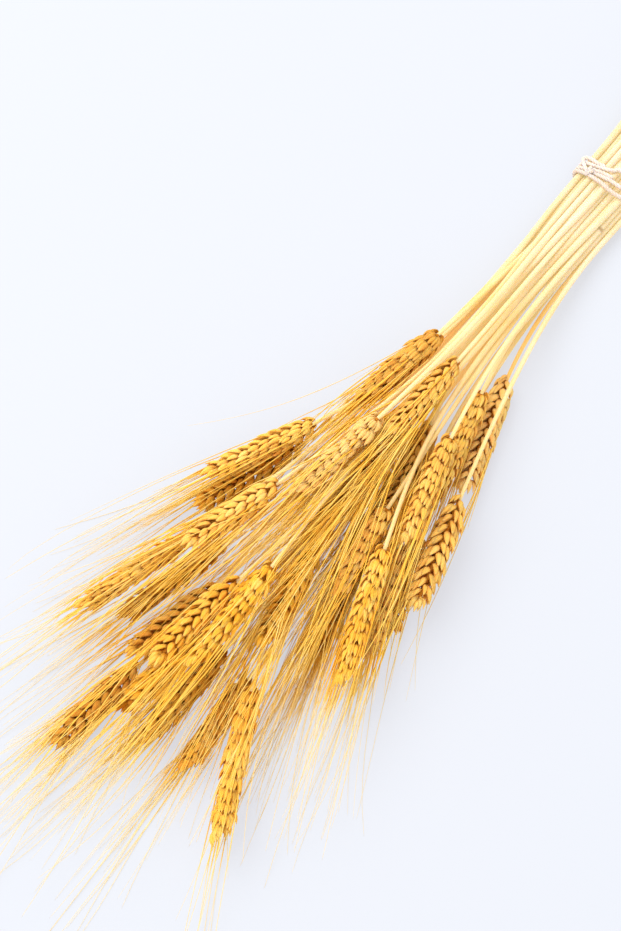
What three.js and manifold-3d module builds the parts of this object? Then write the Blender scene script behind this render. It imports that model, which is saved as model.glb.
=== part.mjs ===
// A tied bunch of dried bearded wheat, lying on a flat surface.
// Millimetres, +Z up. The origin lies on the surface, under the middle of the tie.
// The ears point towards -X and the cut ends of the straws towards +X.
import * as THREE from "three";
import Module from "manifold-3d";

const wasm = await Module();
wasm.setup();
const { lerp, degToRad } = THREE.MathUtils;

// The bunch as a whole
const BUTT_X = 150; // how far the longest straws run on behind the tie
const STEP = 10; // distance between the stations that the stalks are laid through
const CUT_SPREAD = 14; // how unevenly the straws are cut
const LAYER = 10.5; // height from one layer of ears to the next
const CUT_SPLAY = 0.01; // how much wider the bunch gets for each millimetre behind the tie
const TIE_MIDDLE = 10; // height of the middle of the bunch at the tie
const TIE_LAYER = 4; // height from one layer to the next there
const GAP = 0.7; // air between two stalks that lie against each other

// How the laid stalks settle: the number of rounds, the share of them in which the stalks are
// drawn into place, and how strongly they are drawn, pressed down, pushed and straightened
const ROUNDS = 700;
const DRAWN = 0.8;
const TIE_DRAW = 0.03;
const TIE_PRESS = 0.05;
const EAR_DRAW = 0.05;
const CUT_DRAW = 0.02;
const PUSH = 0.35;
const SPRING = 0.5;
const SPRING_AT_REST = 0.15;

// A straw
const BUTT_R = 2.0;
const NECK_R = 1.05;
const STRAW_SIDES = 5;
const STRAW_SAG = 0.45; // how far a straw's rings may cut across its curve
const STRAW_WALL = 0.7;
const HOLLOW = 6; // how far the open end of a straw is shown hollow
const JOINT_SWELL = 0.4; // how far a straw's joint stands out
const JOINT_HALF = 2.6;
const JOINTED = 0.55; // share of the straws that show a joint
const JOINT_FURTHER = 0.2; // share of those joints that lie between the tie and the ears

// An ear, and the slim rachis in its middle that its spikelets stand out of
const EAR_R = 7.4;
const EAR_PROFILE = [
  [0, 0.45],
  [0.12, 0.9],
  [0.3, 1.0],
  [0.75, 0.95],
  [1.0, 0.5],
]; // share of the ear's length, share of its radius
const RACHIS_HALF = [1.1, 2.6]; // half its thickness towards the two rows, and half its width
const RACHIS_PROFILE = [
  [0, 0.6],
  [0.1, 1],
  [0.5, 1],
  [0.8, 0.85],
  [0.92, 0.4],
]; // share of the ear's length, share of the width
const SEAT = 0.35; // gap between the top of a straw and the foot of its ear

// A spikelet: a pointed, keeled husk that lies over the foot of the next one in its row
const SPIKELET_PITCH = 4.4; // length of ear for each spikelet, both rows counted
const SPIKELET_LENGTH = 14;
const SPIKELET_HALF_WIDTH = 6.3;
const SPIKELET_KEEL = 2.2;
const SPIKELET_BELLY = 0.44; // where along it a spikelet is widest
const SPIKELET_LEAN = degToRad(22);
const SPIKELET_FOOT = 0.5; // how far its foot stands out of the ear's middle line
const SPIKELET_TOP = 12.9; // from the foot of the last spikelet to the ear's tip
// The spikelets by their place along the ear: share of the full length, share of the width
const SPIKELET_LENGTHS = [
  [0, 0.82],
  [0.15, 1],
  [1, 1],
];
const SPIKELET_SIZES = [
  [0, 0.72],
  [0.13, 1],
  [0.6, 1],
  [1, 0.83],
];

// An awn, the long bristle at the tip of a floret
const AWN_R = 0.5;
const AWN_TIP_R = 0.26;
const AWN_REACH = 9; // how many stations an awn runs past its floret
const AWN_SPLAY = 0.3; // how steeply an awn stands off its ear
const AWN_TRIES = 12; // awns laid for each ear, of which the straightest are kept
const AWNS_PER_EAR = 7;
const AWN_GAP = 0.4;
const AWN_SAG = 0.6;
const AWN_ROUNDS = 80;
const AWN_SPRUNG = 50; // rounds in which an awn is straightened
const AWN_SPRING = 0.2;
const FLOOR_GAP = 0.3;
const TOUCH = 0.1; // an awn nearer than this to another stalk is left off

// The tie
const TWINE_R = 1.1;
const TWINE_SIDES = 5;
const TWINE_FACE = TWINE_R * Math.cos(Math.PI / TWINE_SIDES); // its middle to its flat sides
const TIE_HALF = 15; // the stretch of the bunch that the tie draws together
const TIE_SPREAD = 26; // how far apart it leaves the outermost straws
const TIE_FLAT = 0.25; // how much of the twine is pressed flat on the surface
const TIE_SEAT = 0.5; // gap between the straws and the twine
const TIE_LIFT = TWINE_R + TWINE_FACE - TIE_FLAT + TIE_SEAT;
const TURN_FINE = 96; // directions in which a turn's way round the straws is looked for
const TURN_SAG = 0.3;
// Where each turn of the twine runs along X: at the left side, at the left and the middle of
// the top, at its right, at the right side and at the underside of the bunch. The turns draw
// together at the left, under the knot, and two of them again at the right.
const TURN_ANGLES = [0, 1.2, 1.57, 2, 3.14, 4.71]; // round the bunch, from its left side
const TURNS = [
  [4.8, 7.4, 12.8, 11.6, 10.4, 5],
  [2.4, 3.4, 4.2, 7.2, 7.6, 2.5],
  [0, 0.9, -0.9, 4.8, 4.8, 0],
];
const KNOT_R = 1.9;
const KNOT_X = 3;
const KNOT_AT = 1.2; // how far round from the left side towards the top the knot lies, radians
const KNOT_PROFILE = [
  [-0.5, 0.5],
  [-0.2, 1],
  [0.2, 1],
  [0.5, 0.5],
]; // share of a lump's length, share of the knot's radius
const LUMPS = [
  { at: [0, 0, 0], along: [1, 0.2, 0], length: 6 },
  { at: [0, 0.4, -0.2], along: [0.25, 1, -0.5], length: 4.5 },
];
// The fold and the short end, from the middle of the knot. The fold sticks out over the left
// edge of the bunch, and the short end lies along the middle turn.
const FOLD = [
  [-2.1, -1.3, -0.3],
  [0.2, 3, -1.5],
  [4.6, 5.9, -2.5],
  [6.4, 3.4, -1.9],
  [6.5, -0.8, -0.3],
  [6.8, -4.8, 1],
];
const SHORT_END = [
  [0, 0, 0],
  [1.9, -3.5, 1.2],
  [2.6, -8, 2.2],
  [3, -12.5, 2.6],
];
// The long end leaves the last turn at this angle round the bunch and runs down to the surface
const LONG_END_AT = 2.9;
const LONG_END = [
  [-3, -1.8, -1],
  [-7, -4, -3.5],
];
const LONG_END_LOW = [
  [-9, -8],
  [-13, -11],
];

// One row for each stalk: where the ear's tip lies, which way the ear points (0 is along
// the bunch), its length, its layer in the heap from the bottom up, and how it is rolled
// (0 shows the braid of its two rows from above, 90 the broad side of one row).
const STALKS = [
  { tip: [-189, 17], heading: 7, length: 60, layer: 2.0, roll: 80 },
  { tip: [-197, -9], heading: -1, length: 60, layer: 2.6, roll: 30 },
  { tip: [-254, 5], heading: 5, length: 64, layer: 3.4, roll: 75 },
  { tip: [-272, 50], heading: 21, length: 67, layer: 1.6, roll: 40 },
  { tip: [-285, 46], heading: 16, length: 69, layer: 0.3, roll: 0 },
  { tip: [-308, 29], heading: 13, length: 60, layer: 3.0, roll: 20 },
  { tip: [-365, 50], heading: 14, length: 69, layer: 1.6, roll: 70 },
  { tip: [-353, 35], heading: 11, length: 68, layer: 0.1, roll: 100 },
  { tip: [-365, 16], heading: 7, length: 60, layer: 0.3, roll: 10 },
  { tip: [-361, 1], heading: 4, length: 62, layer: 2.6, roll: 5 },
  { tip: [-387, -1], heading: 4, length: 60, layer: 1.4, roll: 130 },
  { tip: [-351, -14], heading: -3, length: 68, layer: 3.2, roll: 60 },
  { tip: [-421, 14], heading: 1, length: 60, layer: 0.0, roll: 8 },
  { tip: [-392, -17], heading: -1, length: 66, layer: 0.1, roll: 45 },
  { tip: [-388, -42], heading: -7, length: 60, layer: 0.0, roll: 60 },
  { tip: [-402, -80], heading: -30, length: 80, layer: 1.2, roll: 80 },
  { tip: [-319, -32], heading: -14, length: 60, layer: 1.9, roll: 35 },
  { tip: [-301, -51], heading: -19, length: 58, layer: 0.1, roll: 120 },
  { tip: [-276, -44], heading: -12, length: 58, layer: 1.9, roll: 85 },
  { tip: [-307, -75], heading: -25, length: 76, layer: 2.4, roll: 65 },
  { tip: [-288, -75], heading: -24, length: 64, layer: 1.3, roll: 75 },
  { tip: [-271, -73], heading: -23, length: 62, layer: 0.1, roll: 30 },
  { tip: [-254, -76], heading: -18.5, length: 67, layer: 1.6, roll: 0 },
  { tip: [-233, -52], heading: -17, length: 64, layer: 2.2, roll: 60 },
  { tip: [-204, -45], heading: -16, length: 68, layer: 1.7, roll: 100 },
  { tip: [-186, -53], heading: -20, length: 72, layer: 0.1, roll: 12 },
  { tip: [-227, -34], heading: -17, length: 62, layer: 1.2, roll: 40 },
  { tip: [-242, -14], heading: -1, length: 60, layer: 2.0, roll: 70 },
];

const SHADES = {
  straw: { color: 0xf0d79a, roughness: 0.55, metalness: 0 },
  ear: { color: 0xe2ad4e, roughness: 0.7, metalness: 0 },
  twine: { color: 0xf4ece2, roughness: 0.9, metalness: 0 },
};

// A seeded source of even numbers from 0 to 1.
function seeded(seed) {
  let state = seed;
  return () => {
    state = (state * 16807) % 2147483647;
    return state / 2147483647;
  };
}

const clamp01 = (x) => Math.min(1, Math.max(0, x));

// The height of a profile of straight stretches at a share of its length.
function readProfile(profile, share) {
  let at = 0;
  while (at < profile.length - 2 && share > profile[at + 1][0]) at++;
  const [x0, y0] = profile[at];
  const [x1, y1] = profile[at + 1];
  return lerp(y0, y1, clamp01((share - x0) / (x1 - x0)));
}

// The stations are planes across the bunch, from the cut ends to past the furthest tip.
const furthest = Math.min(...STALKS.map((row) => row.tip[0]));
const STATIONS = Math.round((BUTT_X - furthest) / STEP) + 2;
const stationX = (k) => BUTT_X - STEP * k;

function strawRadius(stalk, x) {
  return lerp(NECK_R, BUTT_R, clamp01((x - stalk.neckX) / (BUTT_X - stalk.neckX)));
}

// Each stalk as first laid: a smooth run from the tie to the foot of its ear, then the ear.
function layStalks() {
  const random = seeded(11);
  const laid = STALKS.map((row) => {
    const angle = degToRad(row.heading);
    const neckX = row.tip[0] + row.length * Math.cos(angle);
    const neckY = row.tip[1] - row.length * Math.sin(angle);
    const cutX = BUTT_X - CUT_SPREAD * random();
    const jointed = random() < JOINTED;
    const joint = jointed ? Math.round(random() < JOINT_FURTHER ? 17 : 2 + 9 * random()) : null;
    return { ...row, angle, neckX, neckY, cutX, joint };
  });
  const fan = [...laid].sort((a, b) => a.neckY / -a.neckX - b.neckY / -b.neckX);
  for (const stalk of laid) {
    const tieY = (fan.indexOf(stalk) / (laid.length - 1) - 0.5) * TIE_SPREAD;
    const slope = -Math.tan(stalk.angle);
    const tieSlope = (0.35 * (stalk.neckY - tieY)) / stalk.neckX;
    stalk.last = Math.ceil((BUTT_X - stalk.tip[0]) / STEP);
    stalk.aimY = [];
    stalk.aimZ = [];
    stalk.r = [];
    for (let k = 0; k < STATIONS; k++) {
      const x = stationX(k);
      const u = clamp01(x / stalk.neckX);
      const past = (stalk.neckX - x) / Math.cos(stalk.angle);
      const bend =
        (2 * u ** 3 - 3 * u ** 2 + 1) * tieY +
        (u ** 3 - 2 * u ** 2 + u) * stalk.neckX * tieSlope +
        (3 * u ** 2 - 2 * u ** 3) * stalk.neckY +
        (u ** 3 - u ** 2) * stalk.neckX * slope;
      const splay = 1 + CUT_SPLAY * Math.max(x, 0);
      const rise = u ** 2 * (3 - 2 * u);
      const held = TIE_MIDDLE + (TIE_LAYER + 0.015 * Math.max(x, 0)) * (stalk.layer - 1.5);
      const straw = strawRadius(stalk, x) + (k === stalk.joint ? JOINT_SWELL : 0);
      const ear = EAR_R * readProfile(EAR_PROFILE, past / stalk.length);
      stalk.aimY.push(past > 0 ? stalk.neckY + slope * (x - stalk.neckX) : bend * splay);
      stalk.aimZ.push(lerp(held, EAR_R + LAYER * stalk.layer, rise));
      stalk.r.push(past > -STEP / 2 ? Math.max(ear, straw) : straw);
    }
    stalk.first = 0;
    stalk.y = [...stalk.aimY];
    stalk.z = [...stalk.aimZ];
  }
  return laid;
}

// A round stalk that crosses a station aslant takes up more of it from side to side.
function setWidths(stalk) {
  stalk.wide = stalk.r.map((r, k) => {
    const before = Math.max(k - 1, stalk.first);
    const after = Math.min(k + 1, stalk.last);
    if (after <= before) return r;
    const slope = (stalk.y[after] - stalk.y[before]) / (STEP * (after - before));
    return r * Math.sqrt(1 + Math.min(slope * slope, 0.5));
  });
}

// Where the straight stretches of two stalks between stations k and k + 1 pass closest:
// the share of the way, the line between them and how much nearer they are than they may be.
function closest(a, b, k, gap) {
  const y0 = b.y[k] - a.y[k];
  const z0 = b.z[k] - a.z[k];
  const dy = b.y[k + 1] - a.y[k + 1] - y0;
  const dz = b.z[k + 1] - a.z[k + 1] - z0;
  const t = clamp01(-(y0 * dy + z0 * dz) / (dy * dy + dz * dz + 1e-9));
  const y = y0 + t * dy;
  const z = z0 + t * dz;
  const distance = Math.sqrt(y * y + z * z) + 1e-9;
  const room = lerp(a.wide[k] + b.wide[k], a.wide[k + 1] + b.wide[k + 1], t) + gap;
  return { t, y: y / distance, z: z / distance, short: room - distance };
}

function shift(stalk, k, t, y, z, amount, moves) {
  const even = (1 - t) ** 2 + t ** 2;
  moves.push([stalk, k, ((1 - t) * y * amount) / even, ((1 - t) * z * amount) / even]);
  moves.push([stalk, k + 1, (t * y * amount) / even, (t * z * amount) / even]);
}

// Pushes b, and a too unless it is fixed, apart along their whole shared stretch.
function pushApart(a, b, gap, moves) {
  let worst = 0;
  for (let k = Math.max(a.first, b.first); k < Math.min(a.last, b.last); k++) {
    const near = closest(a, b, k, gap);
    if (near.short <= 0) continue;
    worst = Math.max(worst, near.short);
    const amount = PUSH * near.short;
    if (!a.fixed) shift(a, k, near.t, -near.y, -near.z, amount, moves);
    shift(b, k, near.t, near.y, near.z, a.fixed ? 2 * amount : amount, moves);
  }
  return worst;
}

function applyMoves(moves) {
  for (const [stalk, k, dy, dz] of moves) {
    stalk.y[k] += dy;
    stalk.z[k] += dz;
  }
}

// A straw is springy: each point moves towards the smooth curve through its neighbours.
function stiffen(line, first, last, weight) {
  const old = [...line];
  for (let k = first + 2; k <= last - 2; k++) {
    const smooth = (-old[k - 2] + 4 * old[k - 1] + 4 * old[k + 1] - old[k + 2]) / 6;
    line[k] += weight * (smooth - old[k]);
  }
  for (const [end, inner, next] of [
    [first, first + 1, first + 2],
    [last, last - 1, last - 2],
  ]) {
    line[inner] += weight * ((old[end] + old[next]) / 2 - old[inner]);
    line[end] += weight * (2 * old[inner] - old[next] - old[end]);
  }
}

// The tie draws the straws together, and each ear is drawn to its own place.
function pullIntoPlace(stalks) {
  for (let k = 0; k < STATIONS; k++) {
    const x = stationX(k);
    const here = stalks.filter((stalk) => k <= stalk.last);
    if (Math.abs(x) <= TIE_HALF) {
      const middle = here.reduce((sum, stalk) => sum + stalk.z[k], 0) / here.length;
      for (const stalk of here) {
        stalk.y[k] += TIE_DRAW * (stalk.aimY[k] - stalk.y[k]);
        stalk.z[k] += TIE_DRAW * (middle - stalk.z[k]) - TIE_PRESS;
      }
    }
    for (const stalk of here) {
      const weight = x <= stalk.neckX + 1 ? EAR_DRAW : x > TIE_HALF ? CUT_DRAW : 0;
      stalk.y[k] += weight * (stalk.aimY[k] - stalk.y[k]);
      stalk.z[k] += 0.6 * weight * (stalk.aimZ[k] - stalk.z[k]);
    }
  }
}

function keepAboveFloor(stalk) {
  for (let k = stalk.first; k <= stalk.last; k++) {
    const lift = Math.abs(stationX(k)) <= TIE_HALF ? TIE_LIFT : stalk.clearance ?? 0;
    stalk.z[k] = Math.max(stalk.z[k], stalk.r[k] + lift);
  }
}

// Lets the laid stalks find their places, until none is inside another.
function settle(stalks) {
  for (let round = 0; round < ROUNDS; round++) {
    const drawn = round < DRAWN * ROUNDS;
    const spring = drawn ? SPRING : SPRING_AT_REST;
    if (drawn) pullIntoPlace(stalks);
    for (const stalk of stalks) {
      stiffen(stalk.y, 0, stalk.last, spring);
      stiffen(stalk.z, 0, stalk.last, spring);
      setWidths(stalk);
    }
    for (let pass = 0; pass < 2; pass++) {
      const moves = [];
      stalks.forEach((a, i) => stalks.slice(i + 1).forEach((b) => pushApart(a, b, GAP, moves)));
      applyMoves(moves);
      stalks.forEach(keepAboveFloor);
    }
  }
}

// The point of a stalk's middle line at x.
function pointAt(stalk, x) {
  const along = (BUTT_X - x) / STEP;
  const k = Math.min(Math.max(Math.floor(along), stalk.first), stalk.last - 1);
  const y = lerp(stalk.y[k], stalk.y[k + 1], along - k);
  return new THREE.Vector3(x, y, lerp(stalk.z[k], stalk.z[k + 1], along - k));
}

// Keeps of a line's points only those that its curve needs.
function thin(points, sag) {
  if (points.length < 3) return points;
  const [start, end] = [points[0], points[points.length - 1]];
  const line = new THREE.Line3(start, end);
  let far = 0;
  let at = 0;
  points.forEach((point, i) => {
    const off = line.closestPointToPoint(point, true, new THREE.Vector3()).distanceTo(point);
    if (off > far) [far, at] = [off, i];
  });
  if (far <= sag) return [start, end];
  return [...thin(points.slice(0, at + 1), sag), ...thin(points.slice(at), sag).slice(1)];
}

// A ring of points round centre in the plane across the bunch.
function ring(centre, radius, sides, widen = 1, turn = 0) {
  return Array.from({ length: sides }, (_, i) => {
    const angle = (2 * Math.PI * (i + turn)) / sides;
    const y = centre.y + radius * widen * Math.cos(angle);
    return new THREE.Vector3(centre.x, y, centre.z + radius * Math.sin(angle));
  });
}

function geometryOf(points, faces) {
  const geometry = new THREE.BufferGeometry();
  geometry.setAttribute(
    "position",
    new THREE.Float32BufferAttribute(
      points.flatMap((p) => [p.x, p.y, p.z]),
      3,
    ),
  );
  geometry.setIndex(faces.flat());
  return geometry;
}

// A closed solid through rings of points that follow each other. A ring may be one point,
// and a loop's last ring leads on to its first.
function loft(rings, loop = false) {
  const n = Math.max(...rings.map((points) => points.length));
  const starts = rings.map((_, r) => rings.slice(0, r).flat().length);
  const at = (r, i) => starts[r] + (rings[r].length > 1 ? i % n : 0);
  const faces = [];
  const end = rings.length - 1;
  for (let r = 0; r < (loop ? rings.length : end); r++) {
    const next = (r + 1) % rings.length;
    for (let i = 0; i < n; i++) {
      if (rings[r].length > 1) faces.push([at(r, i), at(next, i), at(r, i + 1)]);
      if (rings[next].length > 1) faces.push([at(r, i + 1), at(next, i), at(next, i + 1)]);
    }
  }
  if (loop) return geometryOf(rings.flat(), faces);
  for (let i = 1; i + 1 < n; i++) {
    if (rings[0].length > 1) faces.push([at(0, 0), at(0, i), at(0, i + 1)]);
    if (rings[end].length > 1) faces.push([at(end, 0), at(end, i + 1), at(end, i)]);
  }
  return geometryOf(rings.flat(), faces);
}

function toSolid(geometry) {
  const mesh = new wasm.Mesh({
    numProp: 3,
    vertProperties: new Float32Array(geometry.getAttribute("position").array),
    triVerts: new Uint32Array(geometry.getIndex().array),
  });
  const solid = new wasm.Manifold(mesh);
  if (solid.volume() <= 0) throw new Error("A piece is inside out");
  return solid;
}

function fromSolid(solid) {
  const mesh = solid.getMesh();
  const geometry = new THREE.BufferGeometry();
  geometry.setAttribute("position", new THREE.BufferAttribute(mesh.vertProperties, 3));
  geometry.setIndex(new THREE.BufferAttribute(mesh.triVerts, 1));
  return geometry;
}

// A straw: a tube through its stations, swollen at its joint, hollow at its cut end.
function makeStraw(stalk) {
  const topX = stalk.neckX + SEAT / Math.cos(stalk.angle);
  const line = [pointAt(stalk, stalk.cutX)];
  for (let k = 0; k <= stalk.last; k++) {
    const x = stationX(k);
    if (x < stalk.cutX - 1 && x > topX + 1) line.push(pointAt(stalk, x));
  }
  line.push(pointAt(stalk, topX));
  const spine = thin(line, STRAW_SAG);
  if (stalk.joint === null) return hollowTube(stalk, spine, null);
  const jointX = stationX(stalk.joint);
  const clear = spine.filter((point) => Math.abs(point.x - jointX) > 2 * JOINT_HALF);
  for (const step of [-1, 0, 1]) clear.push(pointAt(stalk, jointX + step * JOINT_HALF));
  return hollowTube(stalk, clear.sort((a, b) => b.x - a.x), jointX);
}

function hollowTube(stalk, spine, jointX) {
  const rings = spine.map((point) => {
    const swell = point.x === jointX ? JOINT_SWELL : 0;
    return strawRing(stalk, point, strawRadius(stalk, point.x) + swell);
  });
  const bore = strawRadius(stalk, stalk.cutX) - STRAW_WALL;
  const mouth = strawRing(stalk, spine[0], bore);
  const floor = strawRing(stalk, pointAt(stalk, stalk.cutX - HOLLOW), bore);
  return loft([floor, mouth, ...rings]);
}

function strawRing(stalk, point, radius) {
  const ahead = pointAt(stalk, point.x - 4);
  const behind = pointAt(stalk, point.x + 4);
  const slope = (ahead.y - behind.y) / 8;
  return ring(point, radius, STRAW_SIDES, Math.sqrt(1 + slope * slope), 0.5);
}

// The point of an ear's middle line at a share of its length: straight from its foot to its
// middle, and from there to its tip.
function earPoint(stalk, share) {
  const [foot, middle, tip] = [0, 0.5, 1].map((at) =>
    pointAt(stalk, lerp(stalk.neckX, stalk.tip[0], at)),
  );
  return share < 0.5 ? foot.lerp(middle, 2 * share) : middle.lerp(tip, 2 * share - 1);
}

// The ear's own directions there: along it, out of its two rows, and across them.
function earFrame(stalk, share) {
  const reach = 0.12;
  const from = earPoint(stalk, Math.max(share - reach, 0));
  const to = earPoint(stalk, Math.min(share + reach, 1));
  const along = to.sub(from).normalize();
  const level = new THREE.Vector3(0, 0, 1).cross(along).normalize();
  const up = along.clone().cross(level);
  const roll = degToRad(stalk.roll);
  const out = level.multiplyScalar(Math.cos(roll)).addScaledVector(up, Math.sin(roll));
  return { along, out, across: along.clone().cross(out) };
}

// Where each spikelet sits: its place, its size and its own directions.
function spikeletSeats(stalk) {
  const count = Math.round(stalk.length / SPIKELET_PITCH);
  const top = 1 - SPIKELET_TOP / stalk.length;
  return Array.from({ length: count }, (_, j) => {
    const share = j / (count - 1);
    const terminal = j === count - 1;
    const at = lerp(1 / stalk.length, top, share);
    const { along, out, across } = earFrame(stalk, at);
    const outward = out.clone().multiplyScalar(j % 2 ? 1 : -1);
    const lean = terminal ? 0 : SPIKELET_LEAN;
    const forward = along.clone().multiplyScalar(Math.cos(lean));
    forward.addScaledVector(outward, Math.sin(lean));
    return {
      foot: earPoint(stalk, at).addScaledVector(outward, terminal ? -0.5 : SPIKELET_FOOT),
      forward,
      outward: outward.addScaledVector(forward, -outward.dot(forward)).normalize(),
      across,
      along,
      length: SPIKELET_LENGTH * readProfile(SPIKELET_LENGTHS, share),
      size: readProfile(SPIKELET_SIZES, share),
    };
  });
}

// The point of a spikelet at shares of its length and half width, and a height over its back.
function onSpikelet(seat, along, across, height) {
  return seat.foot
    .clone()
    .addScaledVector(seat.forward, along * seat.length)
    .addScaledVector(seat.across, across * SPIKELET_HALF_WIDTH * seat.size)
    .addScaledVector(seat.outward, height * seat.size);
}

// Three points round a centre: to the one side, outward and to the other side.
function prismRing(seat, centre, radius) {
  const low = -0.5 * radius;
  const wide = Math.sqrt(0.75) * radius;
  return [
    centre.clone().addScaledVector(seat.outward, low).addScaledVector(seat.across, -wide),
    centre.clone().addScaledVector(seat.outward, radius),
    centre.clone().addScaledVector(seat.outward, low).addScaledVector(seat.across, wide),
  ];
}

// A spikelet grows from a point at its foot to a keeled belly, and ends in a point or an awn.
function makeSpikelet(seat, awn) {
  const belly = [
    onSpikelet(seat, SPIKELET_BELLY, -1, 0),
    onSpikelet(seat, SPIKELET_BELLY, 0, SPIKELET_KEEL),
    onSpikelet(seat, SPIKELET_BELLY, 1, 0),
  ];
  const rings = [[onSpikelet(seat, 0, 0, 0)], belly];
  if (awn) rings.push(...awnRings(seat, awn));
  else rings.push([onSpikelet(seat, 1, 0, 0)]);
  const handed = seat.forward.clone().cross(seat.across).dot(seat.outward);
  return toSolid(loft(handed < 0 ? rings.map((points) => [...points].reverse()) : rings));
}

function awnRings(seat, awn) {
  const points = [awn.root];
  for (let k = awn.first; k <= awn.last; k++)
    points.push(new THREE.Vector3(stationX(k), awn.y[k], awn.z[k]));
  return thin(points, AWN_SAG).map((point) => {
    const share = clamp01((awn.root.x - point.x) / (awn.root.x - stationX(awn.last)));
    return prismRing(seat, point, lerp(AWN_R, AWN_TIP_R, share));
  });
}

// A four-sided ring of the rachis in the plane across the bunch.
function rachisRing(stalk, share, width) {
  const centre = earPoint(stalk, share);
  const { along, out, across } = earFrame(stalk, share);
  const corners = [
    [1, 1],
    [1, -1],
    [-1, -1],
    [-1, 1],
  ];
  return corners.map(([a, b]) => {
    const corner = centre.clone().addScaledVector(out, a * width * RACHIS_HALF[0]);
    corner.addScaledVector(across, b * width * RACHIS_HALF[1]);
    return corner.addScaledVector(along, (centre.x - corner.x) / along.x);
  });
}

function makeRachis(stalk) {
  return toSolid(loft(RACHIS_PROFILE.map(([share, width]) => rachisRing(stalk, share, width))));
}

// The awns of an ear as first laid, from the floret tips outward and on past the ear.
function layAwns(stalk, seats, random) {
  return Array.from({ length: AWN_TRIES }, (_, n) => {
    const index = Math.min(Math.round(((n + 0.7) / AWN_TRIES) * seats.length), seats.length - 1);
    const seat = seats[index];
    const tip = n % 4 < 2 ? -1 : 1;
    const root = onSpikelet(seat, 1, 0, 0);
    const { along } = seat;
    const aside = seat.outward
      .clone()
      .multiplyScalar(0.5 + 0.6 * random())
      .addScaledVector(seat.across, tip * (0.3 + 0.6 * random()));
    aside.addScaledVector(along, -aside.dot(along)).normalize();
    const splay = AWN_SPLAY * (0.6 + 0.6 * random());
    const first = Math.ceil((BUTT_X - root.x + 3) / STEP);
    const last = first + AWN_REACH - Math.floor(3 * random());
    const reach = (last - first + 1) * STEP;
    const awn = { ear: stalk, seat, root, first, last, y: [], z: [], r: [], clearance: FLOOR_GAP };
    for (let k = 0; k <= last; k++) {
      const s = Math.max(root.x - stationX(k), 0) / -along.x;
      const off = splay * s * (1 - s / (2 * reach));
      awn.y.push(root.y + along.y * s + aside.y * off);
      awn.z.push(root.z + along.z * s + aside.z * off);
      awn.r.push(lerp(AWN_R, AWN_TIP_R, clamp01((k - first) / (last - first))));
    }
    return awn;
  });
}

function settleAwns(awns, stalks, others) {
  for (const stalk of stalks) stalk.fixed = true;
  for (let round = 0; round < AWN_ROUNDS; round++) {
    const moves = [];
    for (const awn of awns) {
      setWidths(awn);
      for (const stalk of stalks) if (stalk !== awn.ear) pushApart(stalk, awn, AWN_GAP, moves);
    }
    if (others)
      awns.forEach((a, i) =>
        awns.slice(i + 1).forEach((b) => {
          if (a.ear !== b.ear) pushApart(a, b, AWN_GAP, moves);
        }),
      );
    applyMoves(moves);
    for (const awn of awns) {
      if (round < AWN_SPRUNG) {
        stiffen(awn.y, awn.first, awn.last, AWN_SPRING);
        stiffen(awn.z, awn.first, awn.last, AWN_SPRING);
      }
      keepAboveFloor(awn);
    }
  }
  awns.forEach(setWidths);
}

// How much a line bends, summed over its stations.
function bendOf(awn) {
  let bend = 0;
  for (let k = awn.first + 1; k < awn.last; k++) {
    const dy = awn.y[k - 1] - 2 * awn.y[k] + awn.y[k + 1];
    const dz = awn.z[k - 1] - 2 * awn.z[k] + awn.z[k + 1];
    bend += dy * dy + dz * dz;
  }
  return bend;
}

// Of the awns laid for each ear, keeps the straightest few, and lets them find their places.
function chooseAwns(awns, stalks) {
  settleAwns(awns, stalks, false);
  const kept = stalks.flatMap((stalk) => {
    const own = awns.filter((awn) => awn.ear === stalk);
    return own.sort((a, b) => bendOf(a) - bendOf(b)).slice(0, AWNS_PER_EAR);
  });
  settleAwns(kept, stalks, true);
  return kept;
}

// The rachis, spikelets and awns of one ear as one solid. An awn that would touch another
// stalk is left off.
function makeEar(stalk, seats, awns, others) {
  const husks = seats.map((seat) => {
    const awn = awns.find((one) => one.seat === seat);
    const awned = awn && makeSpikelet(seat, awn);
    return awned && clears(awned, others) ? awned : makeSpikelet(seat);
  });
  return wasm.Manifold.union([makeRachis(stalk), ...husks]);
}

function clears(solid, others) {
  const box = solid.boundingBox();
  return others.every((other) => {
    const near = other.boundingBox();
    const apart = [0, 1, 2].some(
      (axis) => box.min[axis] > near.max[axis] + TOUCH || near.min[axis] > box.max[axis] + TOUCH,
    );
    return apart || solid.minGap(other, 2 * TOUCH) > TOUCH;
  });
}

// Where a turn of twine runs along X at an angle round the bunch, between its places.
function turnX(turn, angle) {
  const near = TURN_ANGLES.findLastIndex((at) => at <= angle);
  const far = near + 1;
  const width = (TURN_ANGLES[far] ?? 2 * Math.PI) - TURN_ANGLES[near];
  const share = (angle - TURN_ANGLES[near]) / width;
  return lerp(turn[near], turn[far % turn.length], share * share * (3 - 2 * share));
}

// The point that lies a distance off the straws' outline at x, at an angle round the bunch:
// 0 is its left side, a quarter turn its top.
function outlinePoint(stalks, x, angle, off) {
  const [y, z] = [Math.cos(angle), Math.sin(angle)];
  let best = null;
  let most = -Infinity;
  for (const stalk of stalks)
    for (const near of [x - TWINE_R, x + TWINE_R]) {
      const point = pointAt(stalk, near);
      const radius = strawRadius(stalk, near);
      const reach = point.y * y + point.z * z + radius;
      if (reach > most) {
        most = reach;
        best = new THREE.Vector3(x, point.y + (radius + off) * y, point.z + (radius + off) * z);
      }
    }
  return best;
}

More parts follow.
